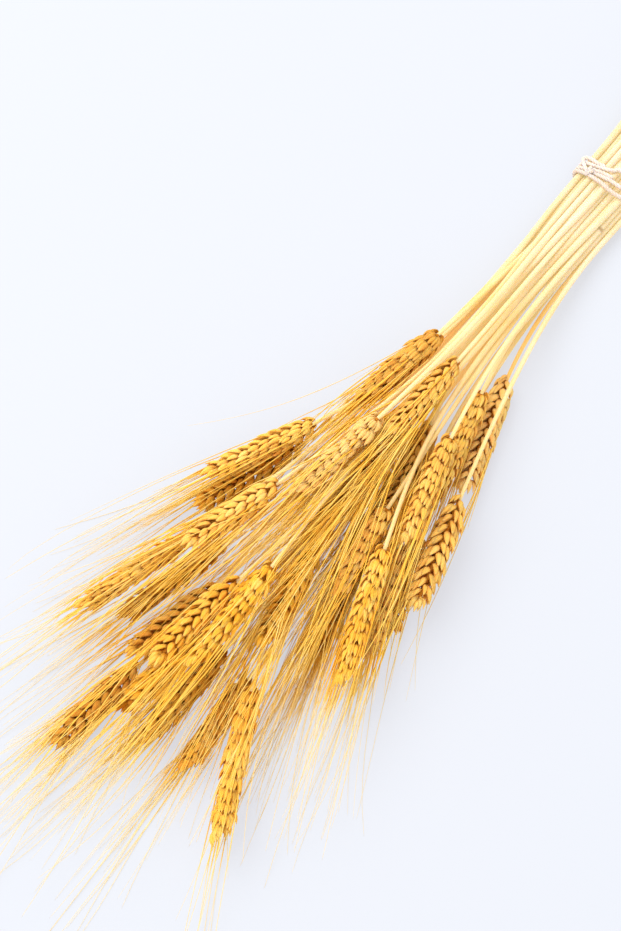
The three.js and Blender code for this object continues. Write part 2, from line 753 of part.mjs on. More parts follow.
function makeTurn(stalks, turn) {
  const points = Array.from({ length: TURN_FINE + 1 }, (_, i) => {
    const angle = (2 * Math.PI * (i % TURN_FINE)) / TURN_FINE;
    const point = outlinePoint(stalks, turnX(turn, angle), angle, TIE_SEAT + TWINE_R);
    return Object.assign(point, { angle });
  });
  const halves = [points.slice(0, TURN_FINE / 2 + 1), points.slice(TURN_FINE / 2)];
  const kept = halves.flatMap((half) => thin(half, TURN_SAG).slice(1));
  const rings = kept.map((centre) => {
    const outward = new THREE.Vector3(0, Math.cos(centre.angle), Math.sin(centre.angle));
    return sectionRing(centre, outward, new THREE.Vector3(1, 0, 0), TWINE_R);
  });
  return toSolid(loft(rings, true));
}

function sectionRing(centre, first, second, radius) {
  return Array.from({ length: TWINE_SIDES }, (_, i) => {
    const angle = (2 * Math.PI * (i + 0.5)) / TWINE_SIDES;
    const point = centre.clone().addScaledVector(first, radius * Math.cos(angle));
    return point.addScaledVector(second, radius * Math.sin(angle));
  });
}

// A length of twine along a curve through points.
function makeTwineLength(points, steps) {
  const curve = new THREE.CatmullRomCurve3(points);
  const frames = curve.computeFrenetFrames(steps);
  const rings = frames.normals.map((normal, i) =>
    sectionRing(curve.getPointAt(i / steps), frames.binormals[i], normal, TWINE_R),
  );
  return toSolid(loft(rings));
}

// One of the two crossed lumps of the knot.
function makeKnotLump(centre, along, length) {
  const across = along.clone().cross(new THREE.Vector3(0, 0, 1)).normalize();
  const third = along.clone().cross(across);
  const rings = KNOT_PROFILE.map(([share, width]) =>
    sectionRing(
      centre.clone().addScaledVector(along, share * length),
      third,
      across,
      KNOT_R * width,
    ),
  );
  return toSolid(loft(rings));
}

// The turns of the tie, its knot, the fold at the knot and the two ends.
function makeTwine(stalks) {
  const knot = outlinePoint(stalks, KNOT_X, KNOT_AT, TIE_SEAT + 0.1 + KNOT_R);
  const leaveX = turnX(TURNS.at(-1), LONG_END_AT);
  const leave = outlinePoint(stalks, leaveX, LONG_END_AT, TIE_SEAT + TWINE_R);
  const offsetsFrom = (point) => (offset) => point.clone().add(new THREE.Vector3(...offset));
  const low = TWINE_R + FLOOR_GAP - leave.z;
  const long = [...LONG_END, ...LONG_END_LOW.map(([x, y]) => [x, y, low])];
  const pieces = TURNS.map((turn) => makeTurn(stalks, turn));
  for (const { at, along, length } of LUMPS) {
    const direction = new THREE.Vector3(...along).normalize();
    pieces.push(makeKnotLump(offsetsFrom(knot)(at), direction, length));
  }
  pieces.push(makeTwineLength(FOLD.map(offsetsFrom(knot)), 9));
  pieces.push(makeTwineLength(SHORT_END.map(offsetsFrom(knot)), 5));
  pieces.push(makeTwineLength([leave, ...long.map(offsetsFrom(leave))], 6));
  return wasm.Manifold.union(pieces).trimByPlane([0, 0, 1], 0);
}

const group = new THREE.Group();

function addPiece(name, geometry, shade) {
  const mesh = new THREE.Mesh(geometry, new THREE.MeshStandardMaterial(SHADES[shade]));
  mesh.name = name;
  group.add(mesh);
}

const stalks = layStalks();
settle(stalks);
const random = seeded(5);
const seats = stalks.map(spikeletSeats);
const awns = chooseAwns(
  stalks.flatMap((stalk, i) => layAwns(stalk, seats[i], random)),
  stalks,
);
const straws = stalks.map(makeStraw);
const solids = straws.map(toSolid);
const bare = stalks.map((stalk, i) => makeEar(stalk, seats[i], [], []));
const ears = [];
stalks.forEach((stalk, i) => {
  const others = [...solids, ...ears, ...bare.slice(i + 1)];
  const own = awns.filter((awn) => awn.ear === stalk);
  ears.push(makeEar(stalk, seats[i], own, others));
});
stalks.forEach((_, i) => {
  const number = String(i + 1).padStart(2, "0");
  addPiece(`stem_${number}`, straws[i], "straw");
  addPiece(`head_${number}`, fromSolid(ears[i]), "ear");
});
addPiece("twine", fromSolid(makeTwine(stalks)), "twine");

export default group;
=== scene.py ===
"""A tied bundle of dried bearded wheat on a pale surface, dressed for rendering.

The straws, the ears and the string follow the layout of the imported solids: the same rule lays
them here once more, and finer surfaces stand for the solids. Sizes are in millimetres, and
only the finished meshes are in metres.
"""
import logging
import math
from dataclasses import dataclass, field
from enum import Enum

import bpy
import numpy as np
from mathutils import Matrix, Vector


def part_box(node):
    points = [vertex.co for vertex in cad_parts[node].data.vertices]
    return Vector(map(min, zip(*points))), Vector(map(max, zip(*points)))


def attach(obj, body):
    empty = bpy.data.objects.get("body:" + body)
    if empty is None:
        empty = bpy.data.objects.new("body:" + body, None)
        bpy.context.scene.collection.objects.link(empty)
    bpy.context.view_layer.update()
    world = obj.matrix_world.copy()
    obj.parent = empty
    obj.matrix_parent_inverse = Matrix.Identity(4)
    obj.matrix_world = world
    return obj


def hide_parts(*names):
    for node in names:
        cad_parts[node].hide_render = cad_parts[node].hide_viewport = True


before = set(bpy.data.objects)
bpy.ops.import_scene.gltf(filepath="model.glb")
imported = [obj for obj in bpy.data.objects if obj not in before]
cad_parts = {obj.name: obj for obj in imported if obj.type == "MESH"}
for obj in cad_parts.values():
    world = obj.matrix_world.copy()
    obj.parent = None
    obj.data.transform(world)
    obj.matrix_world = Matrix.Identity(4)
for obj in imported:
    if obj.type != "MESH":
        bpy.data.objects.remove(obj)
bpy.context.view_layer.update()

log = logging.getLogger("wheat")
Array = np.ndarray
Socket = bpy.types.NodeSocket
Colour = tuple[float, float, float, float]
Given = Socket | float | tuple
MM = 0.001
ANY_PHASE = (0.0, 6.0)


class Bend(Enum):
    """How a line runs on between two stations."""

    STRAIGHT = "straight"
    SMOOTH = "smooth"


class Finish(Enum):
    """The finishes that a piece of the bundle can take."""

    STRAW = "straw"
    HUSK = "husk"
    AWN = "awn"
    STRING = "string"


@dataclass(frozen=True)
class Stalk:
    """One stalk of the bundle.

    Fields: where its ear's tip lies, the way its ear points in degrees (0 is along the
    bundle), the ear's length, its layer in the heap, and how the ear is rolled in degrees.
    """

    tip_x: float
    tip_y: float
    heading: float
    length: float
    layer: float
    roll: float


STALKS = (
    Stalk(-189, 17, 7, 60, 2.0, 80),
    Stalk(-197, -9, -1, 60, 2.6, 30),
    Stalk(-254, 5, 5, 64, 3.4, 75),
    Stalk(-272, 50, 21, 67, 1.6, 40),
    Stalk(-285, 46, 16, 69, 0.3, 0),
    Stalk(-308, 29, 13, 60, 3.0, 20),
    Stalk(-365, 50, 14, 69, 1.6, 70),
    Stalk(-353, 35, 11, 68, 0.1, 100),
    Stalk(-365, 16, 7, 60, 0.3, 10),
    Stalk(-361, 1, 4, 62, 2.6, 5),
    Stalk(-387, -1, 4, 60, 1.4, 130),
    Stalk(-351, -14, -3, 68, 3.2, 60),
    Stalk(-421, 14, 1, 60, 0.0, 8),
    Stalk(-392, -17, -1, 66, 0.1, 45),
    Stalk(-388, -42, -7, 60, 0.0, 60),
    Stalk(-402, -80, -30, 80, 1.2, 80),
    Stalk(-319, -32, -14, 60, 1.9, 35),
    Stalk(-301, -51, -19, 58, 0.1, 120),
    Stalk(-276, -44, -12, 58, 1.9, 85),
    Stalk(-307, -75, -25, 76, 2.4, 65),
    Stalk(-288, -75, -24, 64, 1.3, 75),
    Stalk(-271, -73, -23, 62, 0.1, 30),
    Stalk(-254, -76, -18.5, 67, 1.6, 0),
    Stalk(-233, -52, -17, 64, 2.2, 60),
    Stalk(-204, -45, -16, 68, 1.7, 100),
    Stalk(-186, -53, -20, 72, 0.1, 12),
    Stalk(-227, -34, -17, 62, 1.2, 40),
    Stalk(-242, -14, -1, 60, 2.0, 70),
)


@dataclass(frozen=True)
class EarLook:
    """How one ear differs from the others.

    Fields: how many of its husks still bear an awn (1 for each of the large ones, 2 for the
    small ones too), how widely its awns part, how pale its husks are, partly from fading and
    partly painted light that lifts ears lying in shade, how dark they are, partly their own tone
    and partly painted shade, and how plump they are.
    """

    awned: float
    parted: float
    faded_and_lit: float
    dark: float
    plump: float = 1.0


EAR_LOOKS = (
    EarLook(1.4, 1.2, 0.5, 0.4, 1.22),
    EarLook(1.7, 1.6, 0.6, 0.12),
    EarLook(1.5, 2.0, 1.0, 0.05),
    EarLook(0.6, 0.8, 0.45, 0.0),
    EarLook(0.6, 0.8, 0.2, 0.3),
    EarLook(0.9, 1.2, 0.5, 0.05),
    EarLook(0.5, 1.0, 0.4, 0.0),
    EarLook(0.7, 1.1, 0.2, 0.35),
    EarLook(0.3, 1.2, 0.35, 0.3),
    EarLook(0.5, 1.3, 0.2, 0.15),
    EarLook(0.4, 1.4, 0.1, 0.2),
    EarLook(1.2, 1.5, 0.1, 0.12),
    EarLook(1.0, 1.4, 0.4, 0.6),
    EarLook(1.1, 1.4, 0.2, 0.3),
    EarLook(0.7, 1.1, 0.3, 0.3),
    EarLook(0.3, 0.9, 0.3, 0.05, 1.08),
    EarLook(1.4, 1.7, 0.1, 0.12),
    EarLook(1.8, 1.7, 0.1, 0.3),
    EarLook(1.1, 1.4, 0.5, 0.12),
    EarLook(0.5, 0.9, 0.2, 0.05),
    EarLook(0.4, 0.8, 0.7, 0.3),
    EarLook(0.35, 0.8, 0.5, 0.2),
    EarLook(0.06, 0.5, 0.6, 0.1),
    EarLook(1.0, 1.1, 0.5, 0.15),
    EarLook(0.6, 0.7, 0.5, 0.1),
    EarLook(0.2, 0.5, 1.0, 0.0, 1.08),
    EarLook(2.8, 2.0, 0.4, 0.15),
    EarLook(3.6, 2.4, 0.3, 0.12),
)


class EvenDraws:
    """A seeded source of even numbers from 0 to 1, the same one that lays the solids."""

    def __init__(self, seed: int) -> None:
        """Starts the source at a seed."""
        self.state = seed

    def draw(self) -> float:
        """Returns the next number."""
        self.state = self.state * 16807 % 2147483647
        return self.state / 2147483647


def unit(vectors: Array) -> Array:
    """Returns vectors of the same directions with a length of 1."""
    return vectors / np.maximum(np.linalg.norm(vectors, axis=-1, keepdims=True), 1e-12)


def square_to(vectors: Array, axis: Array) -> Array:
    """Returns unit vectors: each vector without its part along a unit axis."""
    return unit(vectors - (vectors * axis).sum(-1, keepdims=True) * axis)


def mix(low: Array | float, high: Array | float, share: Array | float) -> Array | float:
    """Returns the value a share of the way from low to high."""
    return low + (high - low) * share


def ease(share: Array) -> Array:
    """Returns a share eased at both ends: its square times 3 less twice the share."""
    return share**2 * (3 - 2 * share)


def round_angles(count: int) -> Array:
    """Returns even angles, once round a piece."""
    return 2 * np.pi * np.arange(count) / count


def rings_of(side: Array, back: Array, wide: Array, deep: Array) -> Array:
    """Returns rings of points: the side times how wide, plus the back times how deep."""
    return side[..., None, :] * wide[..., None] + back[..., None, :] * deep[..., None]


def cubic(t: Array, start: Array, leave: Array, end: Array, arrive: Array) -> Array:
    """Follows the cubic with given values and slopes at both ends.

    Args:
        t: how far along it, from 0 to 1.
        start: its value at 0.
        leave: its slope at 0.
        end: its value at 1.
        arrive: its slope at 1.

    Returns:
        The cubic's values.
    """
    return (
        (2 * t**3 - 3 * t**2 + 1) * start
        + (t**3 - 2 * t**2 + t) * leave
        + (3 * t**2 - 2 * t**3) * end
        + (t**3 - t**2) * arrive
    )


@dataclass
class Sheaf:
    """Where every stalk runs: its middle line and its radius at stations across the bundle.

    The stalks are first laid on smooth runs, and then settle: the tie draws them together,
    each ear is drawn to its own place, and whatever is inside another is pushed out.
    """

    butt_x: float = 150.0
    step: float = 10.0
    cut_spread: float = 14.0
    layer_height: float = 10.5
    cut_splay: float = 0.01
    tie_middle: float = 10.0
    tie_layer: float = 4.0
    layer_splay: float = 0.015
    middle_layer: float = 1.5
    gap: float = 0.7
    rounds: int = 700
    drawn: float = 0.8
    tie_draw: float = 0.03
    tie_lead: float = 0.35
    tie_press: float = 0.05
    ear_draw: float = 0.05
    lift_share: float = 0.6
    cut_draw: float = 0.02
    push: float = 0.35
    steepest: float = 0.5
    spring: float = 0.5
    spring_at_rest: float = 0.15
    butt_r: float = 2.0
    neck_r: float = 1.05
    joint_swell: float = 0.4
    jointed: float = 0.55
    joint_further: float = 0.2
    further_joint: int = 17
    joints: tuple[float, float] = (2.5, 9)
    ear_r: float = 7.4
    ear_profile: tuple = ((0, 0.12, 0.3, 0.75, 1.0), (0.45, 0.9, 1.0, 0.95, 0.5))
    tie_half: float = 15.0
    tie_spread: float = 26.0
    cord_r: float = 1.1
    cord_flat: float = math.cos(math.pi / 5)
    cord_pressed: float = 0.25
    over_cord: float = 0.5
    seed: int = 11

    def __post_init__(self) -> None:
        """Lays the stalks and lets them settle."""
        self.lay()
        self.settle()

    @property
    def tie_lift(self) -> float:
        """Returns how high the tie's lowest turn, with its pressed side down, lifts the straws."""
        return self.cord_r + self.cord_r * self.cord_flat - self.cord_pressed + self.over_cord

    def cut(self) -> None:
        """Draws where each stalk is cut, and the station of its joint, or -1 for none."""
        draws = EvenDraws(self.seed)
        cuts, joints = [], []
        for _ in STALKS:
            cuts.append(self.butt_x - self.cut_spread * draws.draw())
            joint = -1
            if draws.draw() < self.jointed:
                further = draws.draw() < self.joint_further
                first, span = self.joints
                joint = self.further_joint if further else math.floor(first + span * draws.draw())
            joints.append(joint)
        self.cut_x, self.joint = np.array(cuts), np.array(joints)

    def lay(self) -> None:
        """Lays each stalk on a smooth run from the tie to the foot of its ear, then its ear."""
        table = np.array([[getattr(row, f) for f in Stalk.__annotations__] for row in STALKS])
        self.tip_x, self.tip_y, heading, self.length, self.layer, roll = table.T
        self.angle, self.roll = np.radians(heading), np.radians(roll)
        self.neck_x = self.tip_x + self.length * np.cos(self.angle)
        self.neck_y = self.tip_y - self.length * np.sin(self.angle)
        self.cut()
        self.count = len(STALKS)
        stations = round((self.butt_x - self.tip_x.min()) / self.step) + 2
        self.x = self.butt_x - self.step * np.arange(stations)
        self.last = np.ceil((self.butt_x - self.tip_x) / self.step).astype(int)
        order = np.argsort(self.neck_y / -self.neck_x, kind="stable")
        place = np.empty(self.count)
        place[order] = np.arange(self.count)
        tie_y = (place / (self.count - 1) - 0.5) * self.tie_spread
        slope = -np.tan(self.angle)
        tie_slope = self.tie_lead * (self.neck_y - tie_y) / self.neck_x
        x, neck_x = self.x[None], self.neck_x[:, None]
        u = np.clip(x / neck_x, 0, 1)
        past = (neck_x - x) / np.cos(self.angle)[:, None]
        leave, arrive = self.neck_x * tie_slope, self.neck_x * slope
        bend = cubic(u, *(end[:, None] for end in (tie_y, leave, self.neck_y, arrive)))
        behind = np.maximum(x, 0)
        layer = self.layer[:, None] - self.middle_layer
        held = self.tie_middle + (self.tie_layer + self.layer_splay * behind) * layer
        ear_z = self.ear_r + self.layer_height * self.layer[:, None]
        straight = self.neck_y[:, None] + slope[:, None] * (x - neck_x)
        self.aim_y = np.where(past > 0, straight, bend * (1 + self.cut_splay * behind))
        self.aim_z = mix(held, ear_z, ease(u))
        at_joint = np.arange(stations)[None] == self.joint[:, None]
        straw = self.straw_radius(np.arange(self.count)[:, None], x)
        straw = straw + self.joint_swell * at_joint
        ear = self.ear_r * np.interp(past / self.length[:, None], *self.ear_profile)
        self.r = np.where(past > -self.step / 2, np.maximum(ear, straw), straw)
        self.y, self.z = self.aim_y.copy(), self.aim_z.copy()

    def straw_radius(self, stalk: Array | int, x: Array | float) -> Array:
        """Returns the radius of a straw at x: an even taper from the butt to the ear."""
        share = (x - self.neck_x[stalk]) / (self.butt_x - self.neck_x[stalk])
        return mix(self.neck_r, self.butt_r, np.clip(share, 0, 1))

    def widths(self) -> Array:
        """Works out how much room a stalk takes at each station where it crosses it aslant.

        Returns:
            The half widths, stalks by stations.
        """
        k = np.arange(len(self.x))
        before = np.maximum(k - 1, 0)
        after = np.minimum(k[None] + 1, self.last[:, None])
        run = np.maximum(after - before[None], 1) * self.step
        slope = (np.take_along_axis(self.y, after, 1) - self.y[:, before]) / run
        crossing = (k[None] <= self.last[:, None]) & (after > before[None])
        aslant = self.r * np.sqrt(1 + np.minimum(slope**2, self.steepest))
        return np.where(crossing, aslant, self.r)

    def springs(self, weight: float) -> Array:
        """Makes for each stalk the matrix that moves its points towards a smooth curve.

        Args:
            weight: the share of the way that a point moves.

        Returns:
            The matrices, stalks by stations by stations.
        """
        stations = len(self.x)
        matrices = np.tile(np.eye(stations), (self.count, 1, 1))
        for matrix, last in zip(matrices, self.last):
            k = np.arange(2, last - 1)
            for offset, part in ((-2, -1), (-1, 4), (0, -6), (1, 4), (2, -1)):
                matrix[k, k + offset] += weight * part / 6
            for end, inner, far in ((0, 1, 2), (last, last - 1, last - 2)):
                matrix[inner, [end, far, inner]] += weight * np.array([0.5, 0.5, -1])
                matrix[end, [inner, far, end]] += weight * np.array([2, -1, -1])
        return matrices

    def settle(self) -> None:
        """Lets the laid stalks find their places, until none is inside another."""
        first, second = np.triu_indices(self.count, 1)
        k = np.arange(len(self.x) - 1)[None]
        shared = k < np.minimum(self.last[first], self.last[second])[:, None]
        pair = np.arange(len(first))
        gather = np.zeros((self.count, len(first)))
        gather[first, pair], gather[second, pair] = -1, 1
        here = np.arange(len(self.x))[None] <= self.last[:, None]
        x = self.x[None]
        tied = here & (np.abs(x) <= self.tie_half)
        near_ear = here & (x <= self.neck_x[:, None] + 1)
        draw = self.ear_draw * near_ear
        draw = draw + self.cut_draw * (here & ~near_ear & (x > self.tie_half))
        lift = np.where(np.abs(x) <= self.tie_half, self.tie_lift, 0)
        floor = np.where(here, self.r + lift, -np.inf)
        sprung, resting = self.springs(self.spring), self.springs(self.spring_at_rest)
        for turn in range(self.rounds):
            drawing = turn < self.drawn * self.rounds
            if drawing:
                middle = (self.z * here).sum(0) / np.maximum(here.sum(0), 1)
                self.y += tied * self.tie_draw * (self.aim_y - self.y)
                self.z += tied * (self.tie_draw * (middle[None] - self.z) - self.tie_press)
                self.y += draw * (self.aim_y - self.y)
                self.z += self.lift_share * draw * (self.aim_z - self.z)
            matrices = sprung if drawing else resting
            self.y, self.z = ((matrices @ line[:, :, None])[:, :, 0] for line in (self.y, self.z))
            wide = self.widths()
            for _ in range(2):
                y, z = self.y[second] - self.y[first], self.z[second] - self.z[first]
                room = wide[first] + wide[second]
                t, way_y, way_z, short = closest(y, z, room, self.gap)
                amount = self.push * np.where(shared, np.maximum(short, 0), 0)
                amount = amount / ((1 - t) ** 2 + t**2)
                for line, way in ((self.y, way_y), (self.z, way_z)):
                    line[:, :-1] += gather @ ((1 - t) * way * amount)
                    line[:, 1:] += gather @ (t * way * amount)
                self.z = np.maximum(self.z, floor)
        self.wide = self.widths()

    def point(self, stalk: int, x: Array | float, bend: Bend = Bend.STRAIGHT) -> Array:
        """Finds points of a stalk's middle line.

        Args:
            stalk: the stalk's row.
            x: where along the bundle.
            bend: straight between stations, or the smooth cubic through them.

        Returns:
            The points, with X, Y and Z last.
        """
        x = np.asarray(x, float)
        along = (self.butt_x - x) / self.step
        k = np.clip(np.floor(along).astype(int), 0, self.last[stalk] - 1)
        t = (along - k)[..., None]
        line = np.stack([self.y[stalk], self.z[stalk]], -1)
        here = mix(line[k], line[k + 1], t)
        if bend is Bend.SMOOTH:
            slope_in = (line[k + 1] - line[np.maximum(k - 1, 0)]) / 2
            slope_out = (line[np.minimum(k + 2, self.last[stalk])] - line[k]) / 2
            here = cubic(t, line[k], slope_in, line[k + 1], slope_out)
        return np.concatenate([x[..., None], here], -1)


def closest(y: Array, z: Array, room: Array, gap: float) -> tuple[Array, Array, Array, Array]:
    """Finds where the straight stretches of two lines between stations pass closest.

    Args:
        y: how far the second line lies from the first along Y at each station.
        z: the same along Z.
        room: the sum of the two half widths at each station.
        gap: the air to keep between them.

    Returns:
        The share of the stretch, the direction from the first to the second along Y and
        along Z, and how much nearer they are than they may be.
    """
    dy, dz = np.diff(y, axis=-1), np.diff(z, axis=-1)
    y, z = y[..., :-1], z[..., :-1]
    t = np.clip(-(y * dy + z * dz) / (dy * dy + dz * dz + 1e-9), 0, 1)
    y, z = y + t * dy, z + t * dz
    distance = np.sqrt(y * y + z * z) + 1e-9
    wanted = mix(room[..., :-1], room[..., 1:], t) + gap
    return t, y / distance, z / distance, wanted - distance


@dataclass
class Skin:
    """Gathers the closed bodies of one piece: points, faces, finishes and surface values."""

    finishes: tuple[Finish, ...]
    points: list[Array] = field(default_factory=list)
    quads: list[Array] = field(default_factory=list)
    corners: list[Array] = field(default_factory=list)
    quad_finish: list[Array] = field(default_factory=list)
    corner_finish: list[Array] = field(default_factory=list)
    values: dict[str, list[Array]] = field(default_factory=dict)
    total: int = 0

    def add(self, rings: Array, tail: Array, head: Array, finish: Finish, **values: Array) -> None:
        """Adds closed bodies, each a grid of rings that ends in a point at its tail and head.

        A ring's points run from its side towards its back, where side x back is the way
        from ring to ring, so that every face points outwards.

        Args:
            rings: bodies by rings by points by 3.
            tail: bodies by 3, the point before each first ring.
            head: bodies by 3, the point after each last ring.
            finish: the bodies' finish.
            values: for each surface value, an array that spreads over bodies, rings, points.
        """
        count, rows, columns, _ = rings.shape
        size = rows * columns
        grid = rings.reshape(count, size, 3)
        self.points.append(np.concatenate([grid, tail[:, None], head[:, None]], 1).reshape(-1, 3))
        r, c = np.meshgrid(np.arange(rows - 1), np.arange(columns), indexing="ij")
        near, far = r * columns + c, r * columns + (c + 1) % columns
        quads = np.stack([near, far, far + columns, near + columns], -1).reshape(-1, 4)
        i = np.arange(columns)
        j = (i + 1) % columns
        end = size - columns
        low = np.stack([np.full(columns, size), j, i], -1)
        top = np.stack([np.full(columns, size + 1), end + i, end + j], -1)
        corners = np.concatenate([low, top])
        start = self.total + (size + 2) * np.arange(count)[:, None, None]
        self.quads.append((quads[None] + start).reshape(-1, 4))
        self.corners.append((corners[None] + start).reshape(-1, 3))
        index = self.finishes.index(finish)
        self.quad_finish.append(np.full(count * len(quads), index))
        self.corner_finish.append(np.full(count * len(corners), index))
        for name, value in values.items():
            spread = np.broadcast_to(value, (count, rows, columns)).reshape(count, size)
            ends = spread[:, [0, -1]]
            whole = np.concatenate([spread, ends], 1).reshape(-1)
            self.values.setdefault(name, []).append(whole)
        self.total += count * (size + 2)

    def piece(self, name: str, materials: dict[Finish, bpy.types.Material]) -> bpy.types.Object:
        """Makes the gathered bodies one object, in metres.

        Args:
            name: the object's name.
            materials: the material of each finish.

        Returns:
            The object.
        """
        quads, corners = np.concatenate(self.quads), np.concatenate(self.corners)
        loops = np.concatenate([quads.ravel(), corners.ravel()]).astype(np.int32)
        starts = np.concatenate(
            [4 * np.arange(len(quads)), quads.size + 3 * np.arange(len(corners))]
        ).astype(np.int32)
        points = np.concatenate(self.points) * MM
        points[:, 2] = np.maximum(points[:, 2], 0)
        mesh = bpy.data.meshes.new(name)
        mesh.vertices.add(self.total)
        mesh.vertices.foreach_set("co", points.ravel())
        mesh.loops.add(len(loops))
        mesh.loops.foreach_set("vertex_index", loops)
        mesh.polygons.add(len(starts))
        mesh.polygons.foreach_set("loop_start", starts)
        finish = np.concatenate(self.quad_finish + self.corner_finish).astype(np.int32)
        for kind in self.finishes:
            mesh.materials.append(materials[kind])
        mesh.polygons.foreach_set("material_index", finish)
        mesh.polygons.foreach_set("use_smooth", np.ones(len(starts), bool))
        for value, parts in self.values.items():
            layer = mesh.attributes.new(value, "FLOAT", "POINT")
            layer.data.foreach_set("value", np.concatenate(parts).astype(np.float32))
        mesh.update(calc_edges=True)
        mesh.validate()
        made = bpy.data.objects.new(name, mesh)
        bpy.context.scene.collection.objects.link(made)
        return made


def tube_frame(path: Array, reference: Array) -> tuple[Array, Array, Array]:
    """Finds the directions along a path: side x back is forward.

    Args:
        path: the path's points.
        reference: a direction that the path never takes.

    Returns:
        Forward, which is the path's own way, side, which is the reference made square to
        it, and back.
    """
    forward = unit(np.gradient(path, axis=0))
    side = square_to(np.broadcast_to(reference, path.shape), forward)
    return forward, side, np.cross(forward, side)


@dataclass
class StrawMaker:
    """Makes a straw: a long tube, hollow and cut aslant at one end, with a swollen joint."""

    sheaf: Sheaf
    sides: int = 12
    pitch: float = 4.0
    wall: float = 0.55
    fuller: float = 0.3
    fuller_from: float = -160.0
    fuller_run: float = 100.0
    low_run: float = 150.0
    hollow: float = 7.0
    joint_half: float = 1.3
    joint_at: tuple = (-6.0, -2.6, -1.6, -0.8, 0.0, 0.8, 1.6, 2.6, 6.0)
    joint_shape: tuple = (0.0, 0.15, 0.85, 0.75, 0.55, 0.8, 1.0, 0.3, 0.0)
    into_ear: float = 3.0
    rib: float = 0.035
    ribs: int = 3
    flatness: tuple = (0.84, 1.0)
    thickness: tuple = (0.88, 1.08)
    slant: float = 1.0
    end_cap: float = 0.5
    top_tone: float = 0.75
    layer_shade: float = 0.2
    tone_stray: float = 0.2

    def build(self, stalk: int, rng: np.random.Generator) -> Skin:
        """Builds the straw of a stalk.

        The surface is a circle carried along the stalk's line. Its radius is the straw's even
        taper, times a faint rib round it, plus the joint's collar of two rolls; the first
        rings run up the inside of the cut end and round its rim.

        Args:
            stalk: the stalk's row.
            rng: the source of its small differences.

        Returns:
            The straw's skin.
        """
        sheaf = self.sheaf
        cut, top = sheaf.cut_x[stalk], sheaf.neck_x[stalk] - self.into_ear
        x = np.append(np.arange(cut, top + self.pitch / 2, -self.pitch), top)
        joint_x = sheaf.x[sheaf.joint[stalk]] if sheaf.joint[stalk] >= 0 else math.inf
        if joint_x < math.inf:
            x = x[np.abs(x - joint_x) > abs(self.joint_at[0])]
            x = np.sort(np.concatenate([x, joint_x - np.array(self.joint_at)]))[::-1]
        swell = np.interp(joint_x - x, self.joint_at, self.joint_shape) * sheaf.joint_swell
        centre = sheaf.point(stalk, x, Bend.SMOOTH)
        forward, side, back = tube_frame(centre, np.array([0.0, 1.0, 0.0]))
        turn = round_angles(self.sides)
        fuller = self.fuller * np.clip((x - self.fuller_from) / self.fuller_run, 0, 1)
        radius = sheaf.straw_radius(stalk, x) + fuller + swell
        ribbed = 1 + self.rib * np.cos(self.ribs * turn + rng.uniform(*ANY_PHASE))
        flat = rng.uniform(*self.flatness)
        radius = radius * rng.uniform(*self.thickness)
        ring = rings_of(side, back, np.cos(turn) * ribbed, np.sin(turn) * ribbed * flat)
        slant = rng.uniform(-self.slant, self.slant, 2)
        slope = slant[0] * np.cos(turn) + slant[1] * np.sin(turn)
        outer = centre[:, None] + ring * radius[:, None, None]
        outer[0] += forward[0] * (slope * radius[0])[:, None]
        bore = radius[0] - self.wall
        mouth = centre[0] + ring[0] * bore + forward[0] * (slope * bore)[:, None]
        deep = centre[0] + forward[0] * self.hollow
        rings = np.concatenate([(deep + ring[0] * bore)[None], mouth[None], outer])
        run = np.concatenate([[cut, cut], x])
        # Painted shade: the lower a straw lies in the heap, the deeper its tone; the rest is each
        # straw's own random tone.
        tone = self.top_tone - self.layer_shade * sheaf.layer[stalk] + rng.normal(0, self.tone_stray)
        skin = Skin((Finish.STRAW,))
        skin.add(
            rings[None],
            deep[None],
            centre[-1][None] + forward[-1] * self.end_cap,
            Finish.STRAW,
            along=(run / 10)[None, :, None],
            around=(turn / (2 * np.pi))[None, None],
            tone=np.clip(tone, 0, 1),
            inside=np.where(np.arange(len(run)) < 2, 1.0, 0.0)[None, :, None],
            joint=np.exp(-(((run - joint_x) / self.joint_half) ** 2))[None, :, None],
            low=np.clip((run - self.fuller_from) / self.low_run, 0, 1)[None, :, None],
        )
        return skin


@dataclass(frozen=True)
class Husk:
    """One husk of a spikelet, placed from the spikelet's foot.

    Fields: the side it stands on (-1, 0 or 1), its start along, outward and across, how far
    it leans outward and spreads across in degrees, how far its back turns from outward
    towards its side, its length, half width and half depth, how bluntly it ends, and how
    many awns an ear must bear before this husk's kind starts to bear them.
    """

    side: int
    start: tuple[float, float, float]
    lean: float
    spread: float
    facing: float
    length: float
    half_width: float
    half_depth: float
    blunt: float
    awned_from: float


def on_both_sides(*sizes: tuple | float) -> tuple[Husk, Husk]:
    """Returns a husk of the given sizes for each side of a spikelet."""
    return Husk(-1, *sizes), Husk(1, *sizes)


SPIKELET = (
    *on_both_sides((0.0, 1.2, 1.1), 25, 13, 48, 10.6, 1.95, 1.5, 0.0, 0.0),
    Husk(0, (2.4, 1.9, 0.0), 32, 0, 0, 9.0, 1.85, 1.5, 0.0, 0.0),
    *on_both_sides((1.6, 1.6, 0.7), 31, 8, 22, 8.8, 1.6, 1.4, 0.0, 1.6),
    *on_both_sides((-0.4, 0.6, 2.1), 19, 22, 72, 8.4, 1.8, 1.0, 0.2, 1.0),
)


